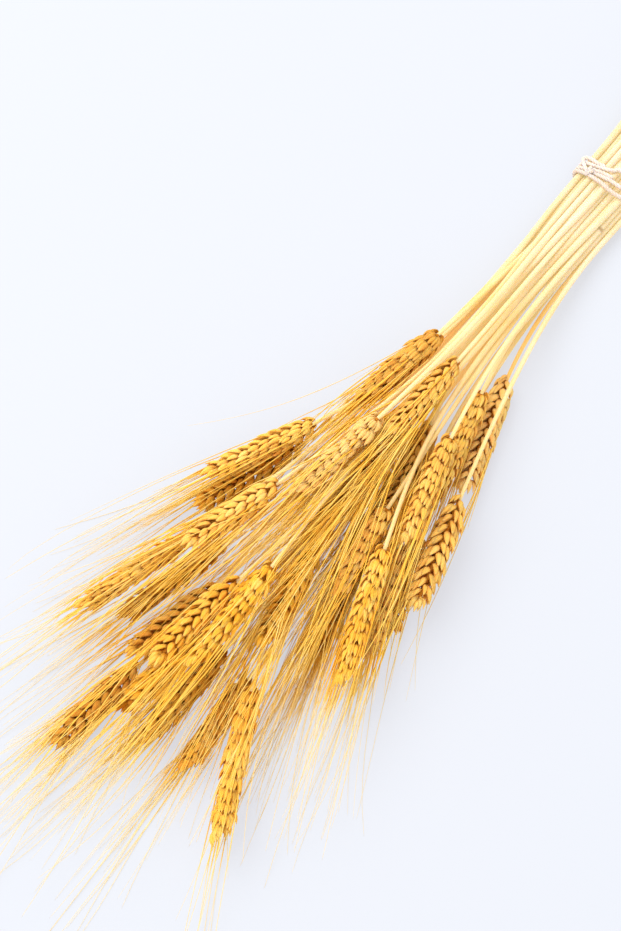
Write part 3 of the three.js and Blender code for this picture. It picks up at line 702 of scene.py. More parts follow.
@dataclass
class EarMaker:
    """Makes an ear: a rachis, and two rows of spikelets of plump husks."""

    sheaf: Sheaf
    pitch: float = 2.95
    foot: float = 1.2
    top: float = 9.4
    sizes: tuple = ((0, 0.13, 0.6, 1.0), (0.7, 1.0, 1.0, 0.84))
    columns: int = 8
    rows: tuple = (0.04, 0.16, 0.34, 0.54, 0.74, 0.9)
    width_at: tuple = (0.6, 0.9, 1.0, 0.86, 0.56, 0.24)
    depth_at: tuple = (0.5, 0.84, 1.0, 0.92, 0.62, 0.26)
    blunter: tuple = (0.0, 0.06, 0.0, 0.07, 0.3, 0.36)
    bow: float = 0.7
    keel: float = 0.42
    inner: float = 0.5
    end_lean: float = 0.1
    size_stray: float = 0.03
    lean_stray: float = 3.5
    spread_stray: float = 4.5
    facing_stray: float = 12.0
    start_stray: float = 0.25
    husk_stray: float = 0.06
    tone_stray: float = 0.14
    shifts: tuple = (0.0, 50.0)
    bald_top: float = 0.75
    awn_at: float = 0.97
    core: tuple = (1.9, 2.3)
    core_sides: int = 6
    core_end: float = 0.93
    core_step: float = 0.35
    core_taper: float = 0.6
    core_foot: tuple = (0.1, 7.0)

    def middle(self, stalk: int, share: Array) -> tuple[Array, Array]:
        """Returns the ear's middle line and its direction at shares of its length.

        The line is the parabola through the stalk's line at the ear's foot, middle and tip.

        Args:
            stalk: the stalk's row.
            share: the shares of the ear's length, from its foot.

        Returns:
            The points of the line, and its unit directions there.
        """
        neck, tip = self.sheaf.neck_x[stalk], self.sheaf.tip_x[stalk]
        foot, half, end = self.sheaf.point(stalk, mix(neck, tip, np.array([0, 0.5, 1.0])))
        s = share[:, None]
        line = foot * (2 * s - 1) * (s - 1) + half * 4 * s * (1 - s) + end * s * (2 * s - 1)
        way = foot * (4 * s - 3) + half * (4 - 8 * s) + end * (4 * s - 1)
        return line, unit(way)

    def directions(self, stalk: int, along: Array) -> tuple[Array, Array]:
        """Turns the ear's level and upward directions by its roll.

        Args:
            stalk: the stalk's row.
            along: the ear's own directions.

        Returns:
            The directions out of the ear's two rows, and across them.
        """
        level = unit(np.cross([0.0, 0.0, 1.0], along))
        up = np.cross(along, level)
        roll = self.sheaf.roll[stalk]
        out = level * math.cos(roll) + up * math.sin(roll)
        return out, np.cross(along, out)

    def build(self, stalk: int, rng: np.random.Generator) -> tuple[Skin, Array, Array, Array]:
        """Builds the husks and the rachis of an ear.

        Args:
            stalk: the stalk's row.
            rng: the source of the small differences between husks.

        Returns:
            The skin so far, and the tips of the awned husks, the ways that they point and
            the ear's own way there.
        """
        length, look = self.sheaf.length[stalk], EAR_LOOKS[stalk]
        count = round((length - self.foot - self.top) / self.pitch) + 1
        place = np.arange(count) / (count - 1)
        share = mix(self.foot / length, 1 - self.top / length, place)
        foot, along = self.middle(stalk, share)
        out, across = self.directions(stalk, along)
        outward = out * np.where(np.arange(count) % 2, 1.0, -1.0)[:, None]
        outward[-1], across[-1] = across[-1].copy(), outward[-1].copy()
        size = np.interp(place, *self.sizes) * rng.normal(1, self.size_stray, count) * look.plump
        lean_share = np.where(np.arange(count) < count - 1, 1.0, self.end_lean)
        skin = Skin((Finish.HUSK, Finish.AWN))
        tips, ways, axes = [], [], []
        for husk in SPIKELET:
            lean = np.tan(np.radians(husk.lean + rng.normal(0, self.lean_stray, count)))
            lean = lean * lean_share
            spread = np.tan(np.radians(husk.spread + rng.normal(0, self.spread_stray, count)))
            spread = spread * husk.side
            way = unit(along + outward * lean[:, None] + across * spread[:, None])
            facing = np.radians(husk.facing + rng.normal(0, self.facing_stray, count))
            back = outward * np.cos(facing)[:, None]
            back = square_to(back + across * (husk.side * np.sin(facing))[:, None], way)
            start = np.array(husk.start) * [1, 1, husk.side]
            start = start + rng.normal(0, self.start_stray, (count, 3))
            root = foot + size[:, None] * (
                along * start[:, :1] + outward * start[:, 1:2] + across * start[:, 2:]
            )
            long = husk.length * size * rng.normal(1, self.husk_stray, count)
            wide = husk.half_width * size * rng.normal(1, self.husk_stray, count)
            spans = (long, wide, husk.half_depth * size)
            self.add_husks(skin, husk, look, (root, way, back), spans, rng)
            upward = np.maximum(square_to(way, along)[:, 2], 0)
            chance = (look.awned - husk.awned_from) * (1 - self.bald_top * upward)
            borne = np.maximum(chance + rng.uniform(0, 1, count), 0).astype(int)
            bears = np.repeat(np.arange(count), borne)
            tips.append((root + way * (self.awn_at * long)[:, None])[bears])
            ways.append(way[bears])
            axes.append(along[bears])
        self.add_rachis(skin, stalk, length)
        return skin, np.concatenate(tips), np.concatenate(ways), np.concatenate(axes)

    def add_husks(
        self,
        skin: Skin,
        husk: Husk,
        look: EarLook,
        stand: tuple[Array, Array, Array],
        spans: tuple[Array, Array, Array],
        rng: np.random.Generator,
    ) -> None:
        """Adds one husk for each spikelet.

        The surface is an oval carried along the husk. Its half width and half depth swell
        from the foot to the belly and run out to the tip, its line bows towards the back by
        the sine of the share of its length, the back has a keel and the inner side is flatter.

        Args:
            skin: where the husks are added.
            husk: the kind of husk.
            look: how this ear differs from the others.
            stand: for each husk its foot, the way it points and the way its back faces.
            spans: for each husk its length, half width and half depth.
            rng: the source of the differences in tone.
        """
        root, way, back = stand
        long, wide, deep = (span[:, None, None] for span in spans)
        u = np.array(self.rows)
        turn = round_angles(self.columns)
        bowed = (self.bow * np.sin(np.pi * u))[:, None]
        width = (np.array(self.width_at) + husk.blunt * np.array(self.blunter))[:, None]
        depth = np.array(self.depth_at)[:, None]
        lift = np.sin(turn) * np.where(np.sin(turn) > 0, 1.0, self.inner)
        lift = lift + self.keel * np.maximum(np.sin(turn), 0) ** 6
        line = root[:, None] + way[:, None] * (spans[0][:, None] * u)[..., None]
        side = np.cross(back, way)[:, None]
        oval = rings_of(side, back[:, None], wide * width * np.cos(turn), deep * depth * lift + bowed)
        tone = np.clip(rng.normal(0.5, self.tone_stray, len(root)), 0, 1)
        skin.add(
            line[:, :, None] + oval,
            root,
            root + way * long[:, 0],
            Finish.HUSK,
            along=u[None, :, None],
            around=(turn / (2 * np.pi))[None, None],
            tone=tone[:, None, None],
            shift=rng.uniform(*self.shifts, len(root))[:, None, None],
            # the ear's paleness and darkness: partly its own tone, partly painted light and shade
            faded_and_lit=look.faded_and_lit,
            dark=look.dark,
        )

    def add_rachis(self, skin: Skin, stalk: int, length: float) -> None:
        """Adds the rachis: a slim flat stem that steps from side to side between spikelets.

        Args:
            skin: where it is added.
            stalk: the stalk's row.
            length: the ear's length.
        """
        share = np.arange(0.0, self.core_end, self.pitch / length)
        line, along = self.middle(stalk, share)
        out, across = self.directions(stalk, along)
        line = line + out * (self.core_step * np.where(np.arange(len(share)) % 2, -1, 1))[:, None]
        turn = round_angles(self.core_sides)
        swell = np.clip(self.core_foot[0] + share * self.core_foot[1], 0, 1)
        taper = (mix(1.0, self.core_taper, share) * swell)[:, None, None]
        ring = rings_of(out, across, np.cos(turn) * self.core[0], np.sin(turn) * self.core[1])
        skin.add(
            (line[:, None] + ring * taper)[None],
            (line[0] - along[0])[None],
            (line[-1] + along[-1])[None],
            Finish.HUSK,
            along=0.1,
            around=0.75,
            tone=0.6,
            shift=share[None, :, None],
            faded_and_lit=0.3,
            dark=0.3,
        )


@dataclass
class Awns:
    """The awns of all ears, laid from the husks' tips and pushed out of the other stalks.

    An awn follows its ear's own way. It parts from it by its splay, waves a little, and bends
    and droops by the square of its run. Ears holds, for each stalk, the tips of the awned
    husks, the ways that they point and the ear's ways there.
    """

    sheaf: Sheaf
    ears: list[tuple[Array, Array, Array]]
    seed: int = 23
    sides: int = 3
    foot_r: float = 0.46
    tip_r: float = 0.11
    thinning: float = 0.85
    foot_cap: float = 0.5
    tip_cap: float = 2.0
    stations: int = 12
    first_run: float = 2.0
    aside_stray: float = 0.28
    splay: float = 0.24
    splay_range: tuple = (0.1, 0.9)
    splay_power: float = 1.7
    widest_share: float = 0.05
    widest: float = 1.5
    curl: float = 1.15
    bend: float = 0.0006
    bend_stray: float = 0.8
    bend_range: tuple = (0.2, 3)
    wave: float = 0.9
    wave_run: tuple = (11, 24)
    still_run: float = 40.0
    droop: float = 0.0006
    droops: tuple = (0.2, 3.2)
    long_share: float = 0.42
    least_length: tuple = (0.7, 0.3)
    length_stray: float = 0.3
    tone_stray: float = 0.25
    stoutness: tuple = (0.75, 1.2)
    box: tuple = ((-133.0, 95.0), (-200.0, 62.0))
    box_pull: float = 0.8
    gap: float = 0.25
    rounds: int = 60
    last_rounds: int = 8
    push: float = 0.7
    spring: float = 0.3
    floor_gap: float = 0.3
    pale_off: tuple = (4.0, 15.0)
    pale_heap: tuple = (15.0, 33.0)
    pale_thinner: float = 0.3

    def __post_init__(self) -> None:
        """Lays the awns, lets them settle, and cuts each to its length."""
        rng = np.random.default_rng(self.seed)
        self.owner = np.concatenate([np.full(len(ear[0]), i) for i, ear in enumerate(self.ears)])
        tips, ways, axes = (np.concatenate(parts) for parts in zip(*self.ears))
        count = len(tips)
        station, x, y, z = self.lay(tips, ways, axes, rng)
        self.settle(station, y, z)
        for line, (low, high) in zip((y, z), self.box):
            line -= self.box_pull * (np.maximum(line - high, 0) + np.minimum(line - low, 0))
        whole = np.concatenate([tips[:, None], np.stack([x, y, z], -1)], 1)
        long = rng.uniform(0, 1, count) < self.long_share
        length = np.where(long, *self.least_length) + self.length_stray * rng.uniform(0, 1, count)
        self.path = self.cut_to_length(whole, length)
        self.tone = np.clip(rng.normal(0.5, self.tone_stray, count), 0, 1)
        self.stout = rng.uniform(*self.stoutness, count)
        # Painted light: awns turn paler, and thinner, where they lie away from the nearest ear and
        # outside the heap of ears.
        nearest, third = self.off_ears()
        self.pale = np.interp(nearest, self.pale_off, (0, 1))
        self.pale = self.pale * np.interp(third, self.pale_heap, (0, 1))

    def lay(
        self, tips: Array, ways: Array, axes: Array, rng: np.random.Generator
    ) -> tuple[Array, Array, Array, Array]:
        """Lays the awns as they would run in the open.

        Args:
            tips: the tips of the awned husks.
            ways: the ways that these husks point.
            axes: the ears' own ways there.
            rng: the source of the differences between awns.

        Returns:
            The station of each of an awn's points, and their places along X, Y and Z.
        """
        sheaf, count = self.sheaf, len(tips)
        aside = square_to(ways + rng.normal(0, self.aside_stray, ways.shape), axes)
        parted = np.array([look.parted for look in EAR_LOOKS])[self.owner]
        splay = rng.uniform(0, 1, count) ** self.splay_power
        splay = self.splay * parted * (self.splay_range[0] + self.splay_range[1] * splay)
        splay[rng.uniform(0, 1, count) < self.widest_share] *= self.widest
        first = np.ceil((sheaf.butt_x - tips[:, 0] + self.first_run) / sheaf.step).astype(int)
        station = first[:, None] + np.arange(self.stations)[None]
        x = sheaf.butt_x - sheaf.step * station
        s = (tips[:, 0][:, None] - x) / -axes[:, 0][:, None]
        reach = self.curl * sheaf.step * self.stations
        off = splay[:, None] * s * (1 - s / (2 * reach))
        bend = rng.normal(0, self.bend, (count, 2, 1))
        bend = bend * np.clip(rng.normal(1, self.bend_stray, (count, 1, 1)), *self.bend_range)
        run = rng.uniform(*self.wave_run, (count, 1, 1))
        wave = rng.normal(0, self.wave, (count, 2, 1))
        wave = wave * np.sin(s[:, None] / run + rng.uniform(*ANY_PHASE, (count, 2, 1)))
        wave = wave * np.clip(s / self.still_run, 0, 1)[:, None] + bend * (s**2)[:, None]
        y, z = (
            tips[:, [i]] + axes[:, [i]] * s + aside[:, [i]] * off + wave[:, i - 1] for i in (1, 2)
        )
        z -= self.droop * rng.uniform(*self.droops, (count, 1)) * s**2
        return station, x, y, z

    def off_ears(self) -> tuple[Array, Array]:
        """Measures, from above, how far the awns' points lie from the ears' middle lines.

        Returns:
            The distances to the nearest ear and to the third nearest.
        """
        away = []
        for stalk in range(self.sheaf.count):
            foot = self.sheaf.point(stalk, self.sheaf.neck_x[stalk])[:2]
            span = self.sheaf.point(stalk, self.sheaf.tip_x[stalk])[:2] - foot
            off = self.path[:, :, :2] - foot
            share = np.clip((off @ span) / (span @ span), 0, 1)
            away.append(np.linalg.norm(off - share[..., None] * span, axis=-1))
        away = np.sort(away, axis=0)
        return away[0], away[2]

    def settle(self, station: Array, y: Array, z: Array) -> None:
        """Pushes each awn out of the stalks that it isn't on, and lets it straighten.

        Args:
            station: the station of each of an awn's points.
            y: the points' places along Y, which it changes.
            z: the points' places along Z, which it changes.
        """
        sheaf = self.sheaf
        radius = np.linspace(self.foot_r, self.tip_r, self.stations)[None]
        near = np.minimum(station, len(sheaf.x) - 1)
        other = np.arange(sheaf.count)[:, None] != self.owner[None]
        live = other[:, :, None] & (station[None, :, 1:] <= sheaf.last[:, None, None])
        stalk_y, stalk_z = sheaf.y[:, near], sheaf.z[:, near]
        room = sheaf.wide[:, near] + radius[None]
        for turn in range(self.rounds):
            t, way_y, way_z, short = closest(y[None] - stalk_y, z[None] - stalk_z, room, self.gap)
            amount = np.where(live, np.maximum(short, 0), 0) * self.push / ((1 - t) ** 2 + t**2)
            for line, way in ((y, way_y), (z, way_z)):
                line[:, :-1] += ((1 - t) * way * amount).sum(0)
                line[:, 1:] += (t * way * amount).sum(0)
                if turn < self.rounds - self.last_rounds:
                    middle = (line[:, :-4] * -1 + 4 * line[:, 1:-3] + 4 * line[:, 3:-1]) / 6
                    middle -= line[:, 4:] / 6
                    line[:, 2:-2] += self.spring * (middle - line[:, 2:-2])
            np.maximum(z, radius + self.floor_gap, out=z)

    @staticmethod
    def cut_to_length(paths: Array, share: Array) -> Array:
        """Cuts the paths to a share of their length, and keeps their number of points.

        Args:
            paths: paths by points by 3.
            share: the share that is left of each path.

        Returns:
            The cut paths.
        """
        points = paths.shape[1]
        at = share[:, None] * np.linspace(0, points - 1, points)[None]
        k = np.minimum(at.astype(int), points - 2)
        t = (at - k)[..., None]
        rows = np.arange(len(paths))[:, None]
        return mix(paths[rows, k], paths[rows, k + 1], t)

    def add(self, skin: Skin, stalk: int) -> None:
        """Adds an ear's awns: three-sided bristles, thinned evenly to their tips.

        Args:
            skin: the ear's skin.
            stalk: the stalk's row.
        """
        chosen = self.owner == stalk
        paths = self.path[chosen]
        forward = unit(np.gradient(paths, axis=1))
        side = square_to(np.broadcast_to([0.0, 0.0, 1.0], paths.shape), forward)
        turn = round_angles(self.sides)
        s = np.linspace(0, 1, paths.shape[1])
        radius = mix(self.tip_r, self.foot_r, (1 - s) ** self.thinning)
        radius = radius * self.stout[chosen][:, None]
        radius = radius * (1 - self.pale_thinner * self.pale[chosen])
        ring = rings_of(side, np.cross(forward, side), np.cos(turn), np.sin(turn))
        skin.add(
            paths[:, :, None] + ring * radius[:, :, None, None],
            paths[:, 0] - forward[:, 0] * self.foot_cap,
            paths[:, -1] + forward[:, -1] * self.tip_cap,
            Finish.AWN,
            along=s[None, :, None],
            around=(turn / (2 * np.pi))[None, None],
            tone=self.tone[chosen][:, None, None],
            shift=0.0,
            # painted light: the awn is paler where it lies out in the open
            faded_and_lit=self.pale[chosen][:, :, None],
            dark=0.0,
        )


@dataclass
class StringMaker:
    """Makes the tie: turns of twisted string round the straws, a knot, a fold and two ends.

    A turn is given by its places along X at the turn angles. The fold and the short end run
    from the knot, and the long end from the last turn.
    """

    sheaf: Sheaf
    radius: float = 1.22
    seat: float = 0.5
    sides: int = 18
    plies: int = 3
    turn_phase: float = 0.9
    coil_phases: tuple = (0.3, 1.4)
    end_phases: tuple = (0.2, 1.1, 2.0)
    groove: float = 0.24
    twist: float = 6.5
    pitch: float = 0.45
    turn_angles: tuple = (0, 1.2, 1.57, 2, 3.14, 4.71, 2 * math.pi)
    turns: tuple = (
        (4.8, 7.4, 12.8, 11.6, 10.4, 5),
        (2.4, 3.4, 4.2, 7.2, 7.6, 2.5),
        (0, 0.9, -0.9, 4.8, 4.8, 0),
    )
    fine: int = 96
    curve_fine: int = 24
    knot_r: float = 1.9
    knot_x: float = 3.0
    knot_at: float = 1.2
    knot_off: float = 0.1
    knot_turn: float = 2.2
    knot_fine: int = 60
    wrap: tuple = (1.7, 0.9, 1.0)
    cross: tuple = (1.5, 1.0, 0.9)
    cross_off: float = 0.2
    fold: tuple = (
        (-2.1, -1.3, -0.3), (0.5, 3.8, -1.6), (5.2, 8.4, -3.2),
        (7.3, 5.2, -2.6), (6.6, -0.5, -0.4), (6.8, -4.8, 1),
    )
    short_end: tuple = ((0, 0, 0), (1.9, -3.5, 1.2), (2.6, -8, 2.2), (3, -12.5, 2.6))
    long_end_at: float = 2.9
    long_end: tuple = ((-3, -1.8, -1), (-7, -4, -3.5))
    long_end_low: tuple = ((-9, -8), (-13, -11))
    cut_share: float = 0.6
    cut_run: float = 1.2
    floor_gap: float = 0.3
    lowest: float = 0.02

    def outline(self, x: Array, angle: Array, off: float) -> Array:
        """Finds the points that lie a distance off the straws' outline.

        At each angle round the bundle, the straw that reaches furthest that way gives the
        point: its middle, plus its radius and the distance in that direction.

        Args:
            x: where along the bundle, one for each angle.
            angle: the direction, 0 to the left side and a quarter turn to the top.
            off: the distance off the straws.

        Returns:
            The points, angles by 3.
        """
        sheaf = self.sheaf
        way = np.stack([np.cos(angle), np.sin(angle)], -1)
        places, radii = [], []
        for stalk in range(sheaf.count):
            for side in (-self.radius, self.radius):
                places.append(sheaf.point(stalk, x + side)[:, 1:])
                radii.append(sheaf.straw_radius(stalk, x + side))
        place, radius = np.array(places), np.array(radii)
        best = ((place * way[None]).sum(-1) + radius).argmax(0)
        pick = np.arange(len(x))
        point = place[best, pick] + (radius[best, pick] + off)[:, None] * way
        return np.concatenate([x[:, None], point], 1)

    def turn_x(self, turn: tuple[float, ...], angle: Array) -> Array:
        """Finds where a turn runs along X, eased from each of its places to the next.

        Args:
            turn: its places at the turn angles.
            angle: the angles round the bunch.

        Returns:
            The place along X at each angle.
        """
        stops, places = np.array(self.turn_angles), np.array((*turn, turn[0]))
        angle = np.mod(angle, 2 * np.pi)
        near = np.searchsorted(stops, angle, side="right") - 1
        near = np.minimum(near, len(stops) - 2)
        share = (angle - stops[near]) / (stops[near + 1] - stops[near])
        return mix(places[near], places[near + 1], ease(share))

    def turn_path(self, turn: tuple[float, ...]) -> Array:
        """Lays one turn, from the knot right round and back to it.

        Args:
            turn: its places along X at the turn angles.

        Returns:
            The turn's path.
        """
        angle = self.knot_at + 2 * np.pi * np.linspace(0, 1, self.fine + 1)
        points = self.outline(self.turn_x(turn, angle), angle, self.seat + self.radius)
        for _ in range(2):
            points[1:-1] = (points[:-2] + 2 * points[1:-1] + points[2:]) / 4
        return self.resample(points)

    def resample(self, points: Array) -> Array:
        """Puts points at even distances along a line.

        Args:
            points: the line's points.

        Returns:
            The even points.
        """
        run = np.concatenate([[0], np.cumsum(np.linalg.norm(np.diff(points, axis=0), axis=1))])
        at = np.linspace(0, run[-1], max(int(run[-1] / self.pitch), 4))
        return np.stack([np.interp(at, run, points[:, i]) for i in range(3)], 1)

    def curve(self, points: Array) -> Array:
        """Lays the smooth cubic curve through a few points.

        Args:
            points: the points that it passes.

        Returns:
            The curve's points, at even distances.
        """
        before, after = 2 * points[:1] - points[1:2], 2 * points[-1:] - points[-2:-1]
        ends = np.concatenate([before, points, after])
        t = np.linspace(0, 1, self.curve_fine, endpoint=False)[:, None]
        p0, p1, p2, p3 = (ends[i : len(ends) - 3 + i][:, None] for i in range(4))
        line = 0.5 * (
            2 * p1
            + (p2 - p0) * t
            + (2 * p0 - 5 * p1 + 4 * p2 - p3) * t**2
            + (3 * p1 - p0 - 3 * p2 + p3) * t**3
        )
        return self.resample(np.concatenate([line.reshape(-1, 3), points[-1:]]))

    def lay_string(self, skin: Skin, path: Array, reference: Array, phase: float) -> None:
        """Adds a length of twisted string along a path.

        The surface is a circle with a groove between each two plies, carried along the path
        and turned with it: radius x (1 - groove x (1 - |cos|)) of the turned angle times half
        the number of plies. What would be under the surface is pressed flat on it.

        Args:
            skin: where the string is added.
            path: its middle line, at even distances.
            reference: a direction that the path never takes.
            phase: where round the string its plies start.
        """
        _, side, back = tube_frame(path, reference)
        turn = round_angles(self.sides)
        run = self.pitch * np.arange(len(path))
        plied = turn[None] - 2 * np.pi * run[:, None] / self.twist + phase
        ply = np.abs(np.cos(plied * self.plies / 2))
        ends = np.minimum(1, self.cut_share + np.minimum(run, run[::-1]) / self.cut_run)
        radius = self.radius * (1 - self.groove * (1 - ply)) * ends[:, None]
        ring = rings_of(side, back, np.cos(turn), np.sin(turn))
        rings = path[:, None] + ring * radius[..., None]
        rings[..., 2] = np.maximum(rings[..., 2], self.lowest)
        skin.add(
            rings[None],
            path[:1],
            path[-1:],
            Finish.STRING,
            along=(run / self.twist)[None, :, None],
            around=(plied / (2 * np.pi))[None],
            tone=(0.5 * phase) % 1,
            ply=ply[None],
        )

    def coil(self, middle: Array, first: Array, second: Array, third: Array, size: tuple) -> Array:
        """Lays a coil of the knot, a little more than once round.

        Args:
            middle: its middle.
            first: the way that it starts from the middle.
            second: the way that it turns to.
            third: the way that it moves on as it turns.
            size: how far it reaches each way.

        Returns:
            The coil's path.
        """
        angle = np.linspace(0, self.knot_turn * np.pi, self.knot_fine)[:, None]
        loop = middle + first * np.cos(angle) * size[0] + second * np.sin(angle) * size[1]
        return self.resample(loop + third * (angle / np.pi - self.knot_turn / 2) * size[2])

    def build(self) -> Skin:
        """Builds the turns, then the knot's two coils, the fold and the two ends.

        Returns:
            The skin of the whole tie.
        """
        skin = Skin((Finish.STRING,))
        axis, rise = np.array([1.0, 0.0, 0.0]), np.array([0.0, 0.0, 1.0])
        for number, turn in enumerate(self.turns):
            self.lay_string(skin, self.turn_path(turn), axis, self.turn_phase * number)
        at, place = np.array([self.knot_at]), np.array([self.knot_x])
        knot = self.outline(place, at, self.seat + self.knot_off + self.knot_r)[0]
        way = np.array([0.0, math.cos(self.knot_at), math.sin(self.knot_at)])
        level = np.cross(axis, way)
        top = knot + way * self.cross_off
        wrap = self.coil(knot, axis, way, level, self.wrap)
        cross = self.coil(top, level, way, axis, self.cross)
        for path, reference, phase in zip((wrap, cross), (level, axis), self.coil_phases):
            self.lay_string(skin, path, reference, phase)
        at = np.array([self.long_end_at])
        leave = self.outline(self.turn_x(self.turns[2], at), at, self.seat + self.radius)[0]
        low = self.radius + self.floor_gap - leave[2]
        long_end = [(0, 0, 0), *self.long_end, *((x, y, low) for x, y in self.long_end_low)]
        runs = ((knot, self.fold), (knot, self.short_end), (leave, long_end))
        for (start, points), phase in zip(runs, self.end_phases):
            self.lay_string(skin, self.curve(start + np.array(points)), rise, phase)
        return skin


def linear(code: str) -> tuple[float, float, float, float]:
    """Turns a six-digit code into the colour that it has on a screen.

    Args:
        code: two hexadecimal digits each for red, green and blue.

    Returns:
        The linear colour, with an alpha of 1.
    """
    parts = [int(code[i : i + 2], 16) / 255 for i in (0, 2, 4)]
    flat = [c / 12.92 if c <= 0.04045 else ((c + 0.055) / 1.055) ** 2.4 for c in parts]
    return (*flat, 1.0)


@dataclass(frozen=True)
class Tint:
    """A colour that one finish has in places: its code, and how much of it shows there."""

    code: str
    share: float = 1.0


class Weave:
    """Adds nodes to a tree and joins them."""

    def __init__(self, tree: bpy.types.NodeTree) -> None:
        """Starts on a tree."""
        self.tree = tree

    def feed(self, node: bpy.types.Node, inputs: dict[str | int, Given]) -> None:
        """Joins or sets inputs of a node.

        Args:
            node: the node.
            inputs: for each input's name or number, a socket to join or a value to set.
        """
        for key, value in inputs.items():
            if isinstance(value, Socket):
                self.tree.links.new(value, node.inputs[key])
            else:
                node.inputs[key].default_value = value

    def node(
        self, kind: str, inputs: dict[str | int, Given] | None = None, **settings: object
    ) -> bpy.types.Node:
        """Adds a node.

        Args:
            kind: the node's type, without ShaderNode in front.
            inputs: for each input's name or number, a socket to join or a value to set.
            settings: the node's own properties.

        Returns:
            The new node.
        """
        made = self.tree.nodes.new("ShaderNode" + kind)
        for key, value in settings.items():
            setattr(made, key, value)
        self.feed(made, inputs or {})
        return made

    def value(self, name: str) -> Socket:
        """Returns a surface value that the piece carries."""
        return self.node("Attribute", attribute_name=name).outputs["Fac"]

    def math(self, operation: str, *inputs: Given, clamp: bool = False) -> Socket:
        """Returns the result of a Math node."""
        numbered = dict(enumerate(inputs))
        return self.node("Math", numbered, operation=operation, use_clamp=clamp).outputs[0]

    def times(self, first: Given, second: Given) -> Socket:
        """Returns the product of two numbers."""
        return self.math("MULTIPLY", first, second)

    def ramp(self, value: Socket, stops: tuple[tuple[float, Colour], ...]) -> Socket:
        """Adds a colour ramp.

        Args:
            value: what picks the colour.
            stops: the place and the colour of each stop.

        Returns:
            The colour.
        """
        made = self.node("ValToRGB", {"Fac": value})
        elements = made.color_ramp.elements
        while len(elements) < len(stops):
            elements.new(0.5)
        for element, (place, colour) in zip(elements, stops):
            element.position, element.color = place, colour
        return made.outputs["Color"]

    def blend(self, share: Given, low: Given, high: Given, how: str = "MIX") -> Socket:
        """Returns a mixed colour."""
        inputs = {0: share, 6: low, 7: high}
        return self.node("Mix", inputs, data_type="RGBA", blend_type=how).outputs[2]

    def tint(self, colour: Socket, mask: Given, tint: Tint) -> Socket:
        """Returns a colour with a tint laid over it where the mask says."""
        return self.blend(mask, colour, linear(tint.code))

    def spread(self, value: Given, low: float, high: float, to_low: float, to_high: float) -> Socket:
        """Returns a value moved from one range to another, held at both ends."""
        inputs = {0: value, 1: low, 2: high, 3: to_low, 4: to_high}
        return self.node("MapRange", inputs).outputs[0]

    def group(self, tree: bpy.types.NodeTree, inputs: dict[str | int, Given]) -> Socket:
        """Returns the output of a shared group."""
        return self.node("Group", inputs, node_tree=tree).outputs[0]


def open_group(name: str, inputs: dict[str, float]) -> tuple[Weave, bpy.types.bpy_prop_collection]:
    """Starts a shared group that takes numbers.

    Args:
        name: the group's name.
        inputs: for each input's name, the value that it has unless another is given.

    Returns:
        The group's weave, and the numbers that it is given.
    """
    tree = bpy.data.node_groups.new(name, "ShaderNodeTree")
    for key, value in inputs.items():
        socket = tree.interface.new_socket(key, in_out="INPUT", socket_type="NodeSocketFloat")
        socket.default_value = value
    return Weave(tree), tree.nodes.new("NodeGroupInput").outputs


def close_group(w: Weave, name: str, result: Socket) -> bpy.types.NodeTree:
    """Ends a shared group.

    Args:
        w: the group's weave.
        name: the output's name.
        result: what the group puts out.

    Returns:
        The group.
    """
    w.tree.interface.new_socket(name, in_out="OUTPUT", socket_type="NodeSocketFloat")
    w.tree.links.new(result, w.tree.nodes.new("NodeGroupOutput").inputs[name])
    return w.tree


def fibre_group() -> bpy.types.NodeTree:
    """Makes the group of fine fibres: streaks that run along a straw, a husk or a ply.

    The streaks are noise that is stretched along the fibres: many times finer round the
    piece than along it.

    Returns:
        The group.
    """
    sizes = {"Along": 0.0, "Around": 0.0, "Shift": 0.0, "Count": 20.0, "Run": 1.0}
    w, given = open_group("plant_fibres", sizes)
    turn = w.times(given["Around"], 2 * math.pi)
    width = w.math("DIVIDE", given["Count"], 2 * math.pi)
    ring_x, ring_y = (w.times(w.math(way, turn), width) for way in ("COSINE", "SINE"))
    run = w.math("ADD", w.times(given["Along"], given["Run"]), given["Shift"])
    place = w.node("CombineXYZ", {0: ring_x, 1: ring_y, 2: run}).outputs[0]
    noise = w.node("TexNoise", {"Vector": place, "Scale": 1.0, "Detail": 3.0, "Roughness": 0.6})
    return close_group(w, "Streak", w.spread(noise.outputs["Fac"], 0.3, 0.7, 0.0, 1.0))


def wear_and_shade_group() -> bpy.types.NodeTree:
    """Makes the group of wear and painted shade: soft patches of sun and wear in the piece's own
    place, mixed with its tone, which on the straws carries painted shade, deep or pale.

    Returns:
        The group.
    """
    w, given = open_group("wear_and_painted_shade", {"Scale": 60.0, "Tone": 0.5, "Streak": 0.5})
    place = w.node("TexCoord").outputs["Object"]
    noise = w.node("TexNoise", {"Vector": place, "Scale": given["Scale"], "Detail": 4.0})
    patch = w.spread(noise.outputs["Fac"], 0.35, 0.65, 0.0, 1.0)
    mixed = w.math("ADD", w.times(patch, 0.3), w.times(given["Tone"], 0.35))
    depth = w.math("ADD", mixed, w.times(given["Streak"], 0.35), clamp=True)
    return close_group(w, "Depth", depth)


